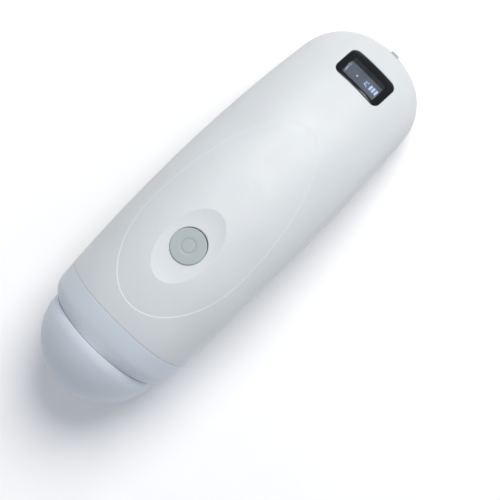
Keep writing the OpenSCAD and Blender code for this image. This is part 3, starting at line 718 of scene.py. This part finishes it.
def build_dome():
    """Acoustic dome: a ball's half with the valley's other side, its skirt and the inner ball."""
    a = np.arange(192) * 2 * math.pi / 192
    swing = np.radians(np.concatenate([[0.3, 0.8, 1.5, 2.3, 3.2, 4.2], np.linspace(5.5, 88.5, 62)]))
    s, a2 = np.meshgrid(swing[::-1], a, indexing="ij")
    u = DOME_R * np.sin(s)
    outer = nose_point(u, a2, DOME_R * np.cos(s) - valley(u, DOME_REACH))
    inner_r = DOME_R - DOME_WALL
    # (u, radius) of the rim and of the skirt that sits in the collar, then the inner ball.
    steps = [(0.04, 25.85), (0.04, 25.3), (-8, 25.3), (-8, 24), (-1, 24), (0, 24), (3.2, 25)]
    inside = [(inner_r * math.sin(t), inner_r * math.cos(t)) for t in np.radians(np.linspace(8.6, 88, 40))]
    back = [nose_point(h, a, r) for h, r in steps + inside]
    weave = Weave()
    grid = weave.add(np.concatenate([outer, np.stack(back)]))
    weave.net(np.concatenate([grid, grid[:, :1]], 1), flip=True)
    weave.lid(grid[0], NOSE.point(DOME_R, 0, 0))
    weave.lid(grid[-1], NOSE.point(inner_r, 0, 0), flip=True)
    return weave.solid("acoustic_dome_moulding")


# ---- controls ----

def build_button():
    """Scan button: its section turned about its travel. The top has a soft edge and a fine ring."""
    top = BUTTON_FLOOR + 0.35
    rim = 0.3
    ring = [(2.55, top), (2.7, top - 0.04), (2.8, top - 0.13),
            (3.0, top - 0.13), (3.1, top - 0.04), (3.25, top)]
    profile = [(0, top), (1.2, top), (2.2, top)] + ring + [(4.5, top), (6, top), (6.8, top - 0.01)]
    profile += corner_arc(BUTTON_R - rim, top - rim, rim, 88, 0, 9)
    profile += [(BUTTON_R, SLEEVE_END - 0.4), (BUTTON_R + 1.3, SLEEVE_END - 0.4),
                (BUTTON_R + 1.3, SLEEVE_END - 1.3), (BUTTON_R - 1.2, SLEEVE_END - 1.3),
                (BUTTON_R - 1.2, SLEEVE_END + 2.5), (3, SLEEVE_END + 2.5), (3, SLEEVE_END - 0.5),
                (2, SLEEVE_END - 0.8), (2, STEM_END + 0.3), (1.7, STEM_END), (0, STEM_END)]
    weave = Weave()
    lathe(weave, BUTTON, profile[::-1])
    return weave.solid("scan_button_cap", 30)


def build_screw_caps():
    """Four plugs for the screw pockets, each a chamfered disc."""
    weave = Weave()
    for x, y, z in SCREW_PLACES:
        low, high = z - 3.6, z - 2.7
        profile = [(0, low), (1.2, low), (2.2, low), (2.45, low + 0.2),
                   (2.45, high - 0.1), (2.3, high), (0, high)]
        lathe(weave, Place(x, 0, 0), profile, 40, y)
    return weave.solid("screw_cap_plugs")


def on_lens(uv, depth, d=0.0):
    """Points depth under the skin at local (u, v), where the skin itself is set in by d."""
    c, a = DISPLAY.on_skin(*uv.T, d)
    return skin(c, a, d + depth)


def window_outline(shape, w, h, corner, counts, shift=None):
    """Corner centres and directions of the display's window, at its shifted place."""
    centres, ways = rounded_sides(w, h, corner, counts)
    return centres + (shape.window_shift / MM if shift is None else shift, 0), ways


def build_lens(shape):
    """Display lens: a black frame that follows the crown, open at its window.

    Its edge falls away over a narrow brow. On the head side, towards +Y, the brow swells as the
    square of a sine to the width where it catches the light.
    """
    counts = (40, 30, 40, 30)
    outer_centres, outer_ways = rounded_sides(LENS_W, LENS_H, LENS_CORNER, counts)
    rim = outer_centres + LENS_CORNER * outer_ways
    hole_centres, hole_ways = window_outline(shape, shape.window_w / MM, shape.window_h / MM, 0.35, counts)
    hole = hole_centres + 0.35 * hole_ways
    swell = np.clip((rim[:, 1] - 0.2) / 9.2, 0, 1) * (rim[:, 0] > LENS_H / 2 - 0.4)
    brow = (0.3 + 0.8 * np.sin(math.pi * swell) ** 2)[:, None]
    weave = Weave()
    rings = [on_lens(rim - outer_ways * brow * (1 - math.cos(t)),
                     0.02 + 0.45 * brow[:, 0] * (1 - math.sin(t)))
             for t in np.radians((0, 12, 25, 38, 52, 66, 78, 90))]
    rings += [on_lens(p, 0.02) for p in in_steps(rim - outer_ways * brow, hole, (0.25, 0.5, 0.75, 0.96, 1.0))]
    rings += [on_lens(p, 0.0, LENS_T) for p in in_steps(hole, rim, (0, 0.1, 0.5, 0.95, 1.0))]
    grid = weave.add(np.stack(rings))
    grid = np.concatenate([grid, grid[:1]])
    weave.net(np.concatenate([grid, grid[:, :1]], 1))
    return weave.solid("display_lens_frame", 30)


def build_gasket(shape):
    """Display gasket: a frame under the lens, whose opening narrows down to the panel's picture."""
    counts = (40, 30, 40, 30)
    top_centres, ways = window_outline(shape, shape.window_w / MM, shape.window_h / MM, 0.35, counts)
    foot_centres, _ = window_outline(shape, PICTURE_W, PICTURE_H, 0.35, counts, PICTURE_SHIFT)
    mouth, foot = top_centres + 0.35 * ways, foot_centres + 0.35 * ways
    flange, sole = mouth + 0.9 * ways, foot + 0.9 * ways
    low = PANEL_TOP + 0.04
    rings = [on_lens(mouth, 0.03, LENS_T)]
    rings += [(1 - s) * rings[0] + s * DISPLAY.point(*foot.T, low) for s in (0.05, 0.3, 0.65, 0.97, 1.0)]
    rings += [DISPLAY.point(*sole.T, low), on_lens(flange, 0.03, LENS_T)]
    weave = Weave()
    grid = weave.add(np.stack(rings))
    grid = np.concatenate([grid, grid[:1]])
    weave.net(np.concatenate([grid, grid[:, :1]], 1))
    return weave.solid("display_gasket_frame", 30)


def build_window(shape):
    """Clear window in the lens's opening: a thin sheet that follows the crown."""
    counts = (24, 12, 24, 12)
    w, h = shape.window_w / MM - 0.1, shape.window_h / MM - 0.1
    centres, ways = rounded_sides(w, h, 0.3, counts)
    rim = centres + 0.3 * ways
    middle = np.array([shape.window_shift / MM, 0.0])
    shares = (0.08, 0.3, 0.55, 0.8, 1.0)
    rings = [on_lens(middle + rim * s, 0.1) for s in shares]
    rings += [on_lens(middle + rim * s, 0.8) for s in shares[::-1]]
    weave = Weave()
    grid = weave.add(np.stack(rings))
    weave.net(np.concatenate([grid, grid[:, :1]], 1), flip=True)
    weave.lid(grid[0], on_lens(middle[None], 0.1)[0])
    weave.lid(grid[-1], on_lens(middle[None], 0.8)[0], flip=True)
    return weave.solid("display_window")


def plate(weave, u0, u1, v0, v1, w0, w1, rounding_mm=0.1):
    """A thin plate in the display's frame: a rounded outline carried from w0 up to w1."""
    centres, ways = rounded_sides(v1 - v0, u1 - u0, rounding_mm, (5, 5, 5, 5))
    rim = centres + rounding_mm * ways + ((u0 + u1) / 2, (v0 + v1) / 2)
    grid = weave.add(np.stack([DISPLAY.point(*rim.T, w) for w in (w1, w0)]))
    weave.net(np.concatenate([grid, grid[:, :1]], 1), flip=True)
    mid = ((u0 + u1) / 2, (v0 + v1) / 2)
    weave.lid(grid[0], DISPLAY.point(*mid, w1))
    weave.lid(grid[1], DISPLAY.point(*mid, w0), flip=True)


def build_panel():
    """Display panel: its glass on its backing."""
    weave = Weave()
    plate(weave, -5.5, 5.5, -10.5, 10.5, -5.4, -3.91, 0.4)
    plate(weave, -4.2, 4.7, -9.2, 9.2, -3.9, PANEL_TOP, 0.3)
    return weave.solid("display_panel_glass")


def build_symbols_and_glints():
    """What the panel shows: a charge sign with its terminal and three bars. The dot and the strip are painted
    reflections: glints on the window, drawn as lit plates on the panel.
    """
    weave = Weave()
    low, high = PANEL_TOP + 0.01, PANEL_TOP + 0.04
    line = 0.26
    bars = [(-0.6, 2.0, v, v + 1.0) for v in (4.0, 5.5, 7.0)]
    terminal = [
        (-0.9, 0.0, 2.6, 2.6 + line), (1.4, 2.3, 2.6, 2.6 + line),
        (-0.26, 0.0, 1.5, 2.6), (1.4, 1.4 + line, 1.5, 2.6),
        (-0.26, 1.66, 1.3, 1.3 + line), (0.3, 1.1, 1.9, 1.9 + line),
    ]
    # Painted reflection: the dot and the strip are glints on the window, drawn as glowing plates.
    glint_dot = [(0.6, 1.5, -3.3, -2.4)]
    glint_strip = [(-1.7, -0.2, -8.25, -8.0), (0.1, 2.6, -8.4, -8.1), (2.0, 3.6, -8.0, -7.8)]
    for corner, plates in ((0.1, bars + terminal), (0.44, glint_dot), (0.1, glint_strip)):
        for u0, u1, v0, v1 in plates:
            plate(weave, u0, u1, v0, v1, low, high, corner)
    return weave.solid("display_symbols_and_glints")


def build_cover():
    """Port cover: a crowned plug in the tail's slot, with its rounded pull tab."""
    half_w, half_h_ = PORT_W / 2 - COVER_GAP, PORT_H / 2 - COVER_GAP
    round_r = half_h_ - 0.01
    centres, ways = rounded_sides(2 * half_h_, 2 * half_w, round_r, (20, 28, 20, 28))

    def slot(grow):
        """Outline of the slot about PORT_Z, grown by grow: two half circles on a rectangle."""
        return centres + (round_r + grow) * ways

    def face_x(yz):
        """Depth of the tail end over (y, z): a shallow bowl, fitted to the mouth's rim."""
        return 0.62 * np.hypot(yz[:, 0] / 7.3, yz[:, 1] / 4.3) ** 2.2

    def ring(grow, share=1.0, x=None, sink=0.0):
        yz = slot(grow) * share
        at = face_x(yz) + sink if x is None else np.full(len(yz), float(x))
        return np.column_stack([at, yz[:, 0], yz[:, 1] + PORT_Z])
    soft = 0.25
    rings = [ring(0, s) for s in (0.12, 0.3, 0.5, 0.7, 0.85)]
    rings += [ring(-soft * (1 - math.sin(t)), 1, None, soft * (1 - math.cos(t)))
              for t in np.radians((0, 30, 60, 90))]
    rings += [ring(0, 1, 1.2), ring(-1.0, 1, 1.2), ring(-1.0, 1, 2.0), ring(-1.1, 1, 2.1)]
    rings += [ring(-1.1, s, 2.1) for s in (0.6, 0.2)]
    weave = Weave()
    grid = weave.add(np.stack(rings))
    weave.net(np.concatenate([grid, grid[:, :1]], 1))
    weave.lid(grid[0], (0.0, 0, PORT_Z), flip=True)
    weave.lid(grid[-1], (2.1, 0, PORT_Z))
    # The tab is a superellipsoid: powers of sine and cosine well below 1 give it flat sides.
    swing, round_ = np.meshgrid(
        np.radians(np.linspace(-89, 89, 33)), np.arange(48) * 2 * math.pi / 48, indexing="ij")

    def power(v, n):
        return np.sign(v) * abs(v) ** n
    mid = ((0.4 - TAB_REACH) / 2, 0, PORT_Z - PORT_H / 2 + 1.5)
    size = ((0.4 + TAB_REACH) / 2, 1.85, 0.9)
    tab = np.stack([
        mid[0] + size[0] * power(np.sin(swing), 0.3),
        mid[1] + size[1] * power(np.cos(swing), 0.3) * power(np.cos(round_), 0.3),
        mid[2] + size[2] * power(np.cos(swing), 0.3) * power(np.sin(round_), 0.3)], -1)
    grid = weave.add(tab)
    weave.net(np.concatenate([grid, grid[:, :1]], 1))
    weave.lid(grid[0], (mid[0] - size[0], 0, mid[2]), flip=True)
    weave.lid(grid[-1], (mid[0] + size[0], 0, mid[2]))
    return weave.solid("port_cover_plug")


# ---- finishes ----
# Patterns are set by their size in mm: a texture's scale is one over the size in metres.

SATIN_BUMP = 0.6
FINE_BUMP = 0.4
NOISE_ROUGHNESS = 0.55
# A noise's values seldom leave these bounds, so its tones and its polish are spread between them.
TONE_STOPS = (0.35, 0.65)
POLISH_SPAN = {"From Min": 0.3, "From Max": 0.7}


def add(material, kind, feeds=None, values=None, ramp=(), **settings):
    """Adds a shader node: settings are its properties, values its plain inputs, feeds its links
    and ramp the two colours of a colour ramp. Returns its first output that is in use."""
    made = material.node_tree.nodes.new(kind)
    for key, value in settings.items():
        setattr(made, key, value)
    for key, value in (values or {}).items():
        made.inputs[key].default_value = value
    for key, socket in (feeds or {}).items():
        material.node_tree.links.new(socket, made.inputs[key])
    for stop, position, tone in zip(made.color_ramp.elements if ramp else (), TONE_STOPS, ramp):
        stop.position, stop.color = position, (*tone, 1)
    return next((output for output in made.outputs if output.enabled), None)


def begin(name):
    """A new empty material, with its object coordinates."""
    made = bpy.data.materials.new(name)
    made.use_nodes = True
    made.node_tree.nodes.clear()
    return made, made.node_tree.nodes.new("ShaderNodeTexCoord").outputs["Object"]


def finished(material, feeds, values):
    """The material with its Principled shader, fed by sockets and plain values."""
    surface = add(material, "ShaderNodeBsdfPrincipled", feeds, values)
    add(material, "ShaderNodeOutputMaterial", {"Surface": surface})
    return material


def cloud(size_mm, detail=2.0):
    """Values of a noise texture whose patches are about size_mm across."""
    return {"Scale": 1 / (size_mm * MM), "Detail": detail, "Roughness": NOISE_ROUGHNESS}


def shade(base, factor):
    """A linear colour made lighter or darker."""
    return tuple(min(1.0, part * factor) for part in base)


def moulded(name, base, rough, grain_mm=0.45, grain_depth=0.012, tone=0.03, **surface):
    """Injection-moulded plastic. The eye sees a fine even spark-eroded grain, a slight drift of
    tone where the melt cooled unevenly, and a sheen that handling has made a little uneven.

    The grain is drawn about ten times coarser than a real one, so that it shows at all.
    """
    made, place = begin(name)
    drift = add(made, "ShaderNodeTexNoise", {"Vector": place}, cloud(28, 1))
    grain = add(made, "ShaderNodeTexNoise", {"Vector": place}, cloud(grain_mm))
    handling = add(made, "ShaderNodeTexNoise", {"Vector": place}, cloud(9, 3))
    feeds = {
        "Base Color": add(made, "ShaderNodeValToRGB", {"Fac": drift},
                          ramp=(shade(base, 1 - tone), shade(base, 1 + tone / 3))),
        "Roughness": add(made, "ShaderNodeMapRange", {"Value": handling},
                         {**POLISH_SPAN, "To Min": rough - 0.04, "To Max": rough + 0.05}),
        "Normal": add(made, "ShaderNodeBump", {"Height": grain},
                      {"Strength": SATIN_BUMP, "Distance": grain_depth * MM}),
    }
    plain = {key.replace("_", " "): value for key, value in surface.items()}
    return finished(made, feeds, {"Metallic": 0.0, "IOR": 1.53, **plain})


def turned_metal(name, base, rough, streak_mm=0.12):
    """Machined or drawn metal: fine tool lines, drawn out one way, and small changes of polish.

    The lines are drawn a few times coarser than real ones.
    """
    made, place = begin(name)
    drawn = add(made, "ShaderNodeMapping", {"Vector": place}, {"Scale": (1, 1 / 12, 1)})
    lines = add(made, "ShaderNodeTexNoise", {"Vector": drawn}, cloud(streak_mm))
    feeds = {
        "Base Color": add(made, "ShaderNodeValToRGB", {"Fac": lines}, ramp=(shade(base, 0.86), base)),
        "Roughness": add(made, "ShaderNodeMapRange", {"Value": lines},
                         {**POLISH_SPAN, "To Min": rough - 0.06, "To Max": rough + 0.08}),
        "Normal": add(made, "ShaderNodeBump", {"Height": lines},
                      {"Strength": FINE_BUMP, "Distance": 0.004 * MM}),
    }
    return finished(made, feeds, {"Metallic": 1.0})


def circuit_board(name, base, track):
    """Fibreglass board under solder mask: copper tracks show as paler lines through the lacquer.

    The tracks are drawn coarser and sparser than real ones, 1.1 mm apart.
    """
    made, place = begin(name)
    cells = add(made, "ShaderNodeTexVoronoi", {"Vector": place}, {"Scale": 1 / (1.1 * MM)},
                distance="MANHATTAN", feature="F2")
    lines = add(made, "ShaderNodeMapRange", {"Value": cells},
                {"From Min": 0.72, "From Max": 0.78, "To Min": 0, "To Max": 1})
    feeds = {
        "Base Color": add(made, "ShaderNodeValToRGB", {"Fac": lines}, ramp=(base, track)),
        "Normal": add(made, "ShaderNodeBump", {"Height": lines},
                      {"Strength": 0.5, "Distance": 0.02 * MM}),
    }
    return finished(made, feeds, {"Metallic": 0.0, "IOR": 1.55, "Roughness": 0.32})


def flat_flex(name, base, copper):
    """Polyimide flat cable: amber film over straight copper tracks 0.5 mm apart."""
    made, place = begin(name)
    mapped = add(made, "ShaderNodeMapping", {"Vector": place}, {"Scale": (1, 1 / (0.5 * MM), 1)})
    wave = add(made, "ShaderNodeTexWave", {"Vector": mapped}, {"Scale": 0.32},
               wave_type="BANDS", bands_direction="Y", wave_profile="SIN")
    film = add(made, "ShaderNodeValToRGB", {"Fac": wave}, ramp=(base, copper))
    return finished(made, {"Base Color": film}, {"Metallic": 0.0, "IOR": 1.7, "Roughness": 0.28})


def display_glass(name):
    """Clear acrylic pane: nearly smooth, with a trace of tint."""
    made, place = begin(name)
    drift = add(made, "ShaderNodeTexNoise", {"Vector": place}, cloud(6, 1))
    tint = add(made, "ShaderNodeValToRGB", {"Fac": drift}, ramp=((0.86, 0.88, 0.92), (0.92, 0.94, 0.97)))
    return finished(made, {"Base Color": tint}, {
        "Metallic": 0.0, "IOR": 1.49, "Roughness": 0.02, "Transmission Weight": 1.0})


def lit_symbol(name, glow):
    """Lit segments of the display, and the painted reflections drawn like them: pale lilac light, a little
    uneven along each segment.
    """
    made, place = begin(name)
    drift = add(made, "ShaderNodeTexNoise", {"Vector": place}, cloud(0.8, 1))
    light = add(made, "ShaderNodeValToRGB", {"Fac": drift}, ramp=(shade(glow, 0.75), glow))
    return finished(made, {"Emission Color": light, "Base Color": light},
                    {"Metallic": 0.0, "Roughness": 0.5, "Emission Strength": 0.75})


def wrapped_cell(name):
    """Lithium pouch: aluminium foil film with soft wrinkles a few millimetres apart."""
    made, place = begin(name)
    drawn = add(made, "ShaderNodeMapping", {"Vector": place}, {"Scale": (1 / 2.5, 1, 1)})
    folds = add(made, "ShaderNodeTexNoise", {"Vector": drawn}, cloud(4, 3))
    feeds = {
        "Base Color": add(made, "ShaderNodeValToRGB", {"Fac": folds},
                          ramp=(linear("#8C96A6"), linear("#B4BCC8"))),
        "Normal": add(made, "ShaderNodeBump", {"Height": folds},
                      {"Strength": SATIN_BUMP, "Distance": 0.15 * MM}),
    }
    return finished(made, feeds, {"Metallic": 0.85, "Roughness": 0.38})


def fired_ceramic(name):
    """Piezo ceramic: dull, with the speckle of its fired grain, drawn far coarser than it is."""
    made, place = begin(name)
    speckle = add(made, "ShaderNodeTexNoise", {"Vector": place}, cloud(0.4, 3))
    grain = add(made, "ShaderNodeTexNoise", {"Vector": place}, cloud(0.3))
    feeds = {
        "Base Color": add(made, "ShaderNodeValToRGB", {"Fac": speckle},
                          ramp=(linear("#5A5142"), linear("#8A7E66"))),
        "Normal": add(made, "ShaderNodeBump", {"Height": grain},
                      {"Strength": SATIN_BUMP, "Distance": 0.02 * MM}),
    }
    return finished(made, feeds, {"Metallic": 0.0, "IOR": 1.9, "Roughness": 0.7})


def hidden_finishes():
    """Material for every CAD node that is shown as it is, from its record slot."""
    return {
        "seal_rubber": moulded("Nitrile rubber, moulded", linear("#26272B"), 0.72, 0.3, 0.01),
        "soft_silicone": moulded("Silicone rubber, moulded", linear("#9AA2A6"), 0.6, 0.3, 0.008),
        "black_plastic": moulded("Black PBT, moulded", linear("#1D1E20"), 0.5, 0.3, 0.01),
        "grey_plastic": moulded("Grey PC-ABS, moulded", linear("#7D8288"), 0.52, 0.4, 0.014),
        "gear_nylon": moulded("Natural nylon, moulded", linear("#E2DED0"), 0.42, 0.4, 0.008,
                              Subsurface_Weight=0.1, Subsurface_Scale=0.001),
        "red_wire": moulded("PVC wire insulation, extruded", linear("#B5231C"), 0.4, 0.5, 0.004),
        "cable_grey": moulded("PVC cable jacket, extruded", linear("#4A4B4F"), 0.5, 0.5, 0.006),
        "board_green": circuit_board("Solder-masked fibreglass", linear("#14532F"), linear("#2C7A4A")),
        "flex_amber": flat_flex("Polyimide flat cable", linear("#A3601E"), linear("#D08A3A")),
        "steel": turned_metal("Stainless steel, turned", linear("#B9BBBE"), 0.3),
        "brass": turned_metal("Brass, turned", linear("#C9A24E"), 0.28),
        "aluminium_part": turned_metal("Aluminium, milled", linear("#C3C6CB"), 0.4, 0.2),
        "magnet_grey": turned_metal("Nickel-plated magnet", linear("#8F9196"), 0.22, 0.3),
        "battery_foil": wrapped_cell("Lithium pouch foil"),
        "piezo_ceramic": fired_ceramic("Piezo ceramic, fired"),
    }


# ---- operators ----

def settings():
    """The scene's three groups of settings: shape, colours and studio."""
    scene = bpy.context.scene
    return scene.scanner_shape, scene.scanner_colours, scene.scanner_studio


def finish(piece, material, body, nodes):
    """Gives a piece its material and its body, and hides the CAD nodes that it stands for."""
    piece.data.materials.append(material)
    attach(piece, body)
    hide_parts(*nodes)
    return piece


class SCANNER_OT_casing(bpy.types.Operator):
    """Build both shells of the casing and the plugs of the screw pockets"""

    bl_idname = "scanner.casing"
    bl_label = "Casing"

    def execute(self, context):
        shape, colours, _ = settings()
        # White ABS from a spark-eroded mould: satin, never mirror-like.
        shell = moulded("White ABS, spark-eroded mould", colours.shell, 0.46, 0.5, 0.02, 0.025,
                        Specular_IOR_Level=0.5, Subsurface_Weight=0.05, Subsurface_Scale=0.002)
        finish(build_upper_shell(shape), shell, "root", ["upper_shell"])
        finish(build_lower_shell(shape), shell, "root", ["lower_shell"])
        finish(build_screw_caps(), shell, "root", ["screw_caps"])
        return {"FINISHED"}


class SCANNER_OT_nose(bpy.types.Operator):
    """Build the collar and the acoustic dome"""

    bl_idname = "scanner.nose"
    bl_label = "Nose"

    def execute(self, context):
        shape, colours, _ = settings()
        # Polymethylpentene with a pale pigment: softer sheen than the shells, light goes in a little.
        nose = moulded("Pigmented polymethylpentene, moulded", colours.nose, 0.42, 0.6, 0.01, 0.02,
                       IOR=1.46, Subsurface_Weight=0.12, Subsurface_Scale=0.003)
        finish(build_collar(shape), nose, "root", ["nose_collar"])
        finish(build_dome(), nose, "root", ["acoustic_dome"])
        return {"FINISHED"}


class SCANNER_OT_button(bpy.types.Operator):
    """Build the scan button"""

    bl_idname = "scanner.button"
    bl_label = "Scan button"

    def execute(self, context):
        colours = settings()[1]
        # Grey polycarbonate with a silky mould finish.
        grey = moulded("Grey polycarbonate, silk finish", colours.button, 0.5, 0.35, 0.01, 0.03,
                       IOR=1.58)
        finish(build_button(), grey, "button", ["scan_button"])
        return {"FINISHED"}


class SCANNER_OT_display(bpy.types.Operator):
    """Build the display: lens frame, clear window, panel, its lit symbols and painted reflections drawn as
    glowing plates
    """

    bl_idname = "scanner.display"
    bl_label = "Display"

    def execute(self, context):
        shape, colours, _ = settings()
        # Black acrylic, polished in the mould: sharp reflections over a deep black.
        black = moulded("Black acrylic, polished mould", colours.lens, 0.1, 3, 0.002, 0.1,
                        IOR=1.49)
        # Polariser film over the liquid crystal: grey-blue and satin.
        panel = moulded("Display polariser film", colours.screen, 0.34, 0.9, 0.004, 0.12)
        finish(build_lens(shape), black, "root", ["display_lens"])
        # Foamed rubber frame between lens and panel, black and matt.
        foam = moulded("Black foamed rubber, die cut", linear("#1C1D1F"), 0.6, 0.5, 0.02, 0.08)
        finish(build_gasket(shape), foam, "root", ["display_gasket"])
        finish(build_window(shape), display_glass("Clear acrylic pane"), "root",
               ["display_lens"])
        finish(build_panel(), panel, "root", ["display_panel"])
        # The lit symbols include painted reflections: glints drawn as glowing plates on the panel.
        finish(build_symbols_and_glints(), lit_symbol("Lit display segments and painted glints", colours.glow), "root",
               ["display_panel"])
        return {"FINISHED"}


class SCANNER_OT_port_cover(bpy.types.Operator):
    """Build the charging port's cover with its pull tab"""

    bl_idname = "scanner.port_cover"
    bl_label = "Port cover"

    def execute(self, context):
        # Grey thermoplastic elastomer: matt, slightly rubbery.
        rubber = moulded("Grey elastomer, moulded", settings()[1].cover, 0.62, 0.4, 0.012)
        finish(build_cover(), rubber, "port_cover", ["port_cover"])
        return {"FINISHED"}


class SCANNER_OT_inner_parts(bpy.types.Operator):
    """Give the inner CAD parts their finishes"""

    bl_idname = "scanner.inner_parts"
    bl_label = "Inner parts"

    def execute(self, context):
        finishes = hidden_finishes()
        slots = {part["node"]: part["material_slot"] for part in frame["record"]["subparts"]}
        for name, node in frame["nodes"].items():
            if not node.hide_render:
                node.data.materials.clear()
                node.data.materials.append(finishes[slots[name]])
        return {"FINISHED"}


# The floor's half width, and how far it lies under the casing so that the two don't touch, in mm.
FLOOR_HALF = 1500
FLOOR_DROP = 0.05


class SCANNER_OT_studio(bpy.types.Operator):
    """Build the floor, the lights and the camera"""

    bl_idname = "scanner.studio"
    bl_label = "Studio"

    def execute(self, context):
        _, colours, studio = settings()
        scene = context.scene
        weave = Weave()
        side = np.linspace(-FLOOR_HALF, FLOOR_HALF, 9)
        x, y = np.meshgrid(side, side, indexing="ij")
        weave.net(weave.add(np.stack([x, y, 0 * x - FLOOR_DROP], -1)), flip=True)
        floor = weave.solid("studio_floor")
        # Painted board: dead matt.
        floor.data.materials.append(
            moulded("Matt painted board", colours.floor, 0.9, 6, 0.01, 0.01))

        world = bpy.data.worlds.new("Studio room")
        world.use_nodes = True
        back = world.node_tree.nodes["Background"]
        back.inputs["Color"].default_value = (*linear("#E8ECF4"), 1)
        back.inputs["Strength"].default_value = studio.world
        scene.world = world

        for name, spot, size, power, tint in (
            ("Softbox", (-0.75, -0.1, 1.1), 0.9, studio.key, "#FFFDFA"),
            ("Fill light", (0.35, 0.6, 1.2), 1.0, studio.fill, "#EEF3FF"),
        ):
            lamp = bpy.data.lights.new(name, "AREA")
            lamp.shape, lamp.size, lamp.energy = "DISK", size, power
            lamp.color = linear(tint)
            held = bpy.data.objects.new(name, lamp)
            held.location = spot
            aim = Vector((0, 0, 0.03)) - held.location
            held.rotation_euler = aim.to_track_quat("-Z", "Y").to_euler()
            scene.collection.objects.link(held)

        lens = bpy.data.cameras.new("Camera")
        lens.sensor_width, lens.lens = 36, studio.focal
        lens.clip_start, lens.clip_end = 0.01, 20
        camera = bpy.data.objects.new("Camera", lens)
        back_way = Vector((0, math.sin(studio.roll), math.cos(studio.roll)))
        right = Vector((-0.7069, 0.7073, 0))
        right = (right - right.project(back_way)).normalized()
        turn = Matrix((right, back_way.cross(right), back_way)).transposed()
        target = Vector((0.0036, 0.0166, 0.03))
        camera.matrix_world = Matrix.Translation(target + back_way * studio.distance) @ turn.to_4x4()
        scene.collection.objects.link(camera)
        scene.camera = camera
        scene.view_settings.view_transform = "Standard"
        return {"FINISHED"}


class SCANNER_PT_panel(bpy.types.Panel):
    """Settings and steps of the scanner's visual model"""

    bl_label = "Scanner"
    bl_idname = "SCANNER_PT_panel"
    bl_space_type = "VIEW_3D"
    bl_region_type = "UI"
    bl_category = "Scanner"

    def draw(self, context):
        for group in settings():
            box = self.layout.box()
            for key in group.__annotations__:
                box.prop(group, key)
        for step in STEPS:
            self.layout.operator(step.bl_idname)


GROUPS = {
    "scanner_shape": ScannerShape, "scanner_colours": ScannerColours, "scanner_studio": ScannerStudio,
}
STEPS = (
    SCANNER_OT_casing, SCANNER_OT_nose, SCANNER_OT_button, SCANNER_OT_display,
    SCANNER_OT_port_cover, SCANNER_OT_inner_parts, SCANNER_OT_studio,
)


def register():
    """Registers the settings, the operators and the panel."""
    for cls in (*GROUPS.values(), *STEPS, SCANNER_PT_panel):
        bpy.utils.register_class(cls)
    for key, group in GROUPS.items():
        setattr(bpy.types.Scene, key, bpy.props.PointerProperty(type=group))


def unregister():
    """Takes away what register added."""
    for key in GROUPS:
        delattr(bpy.types.Scene, key)
    for cls in (SCANNER_PT_panel, *STEPS[::-1], *GROUPS.values()):
        bpy.utils.unregister_class(cls)


def main():
    """Builds everything."""
    register()
    for step in STEPS:
        group, name = step.bl_idname.split(".")
        getattr(getattr(bpy.ops, group), name)()
    bpy.context.view_layer.update()


if __name__ == "__main__":
    main()
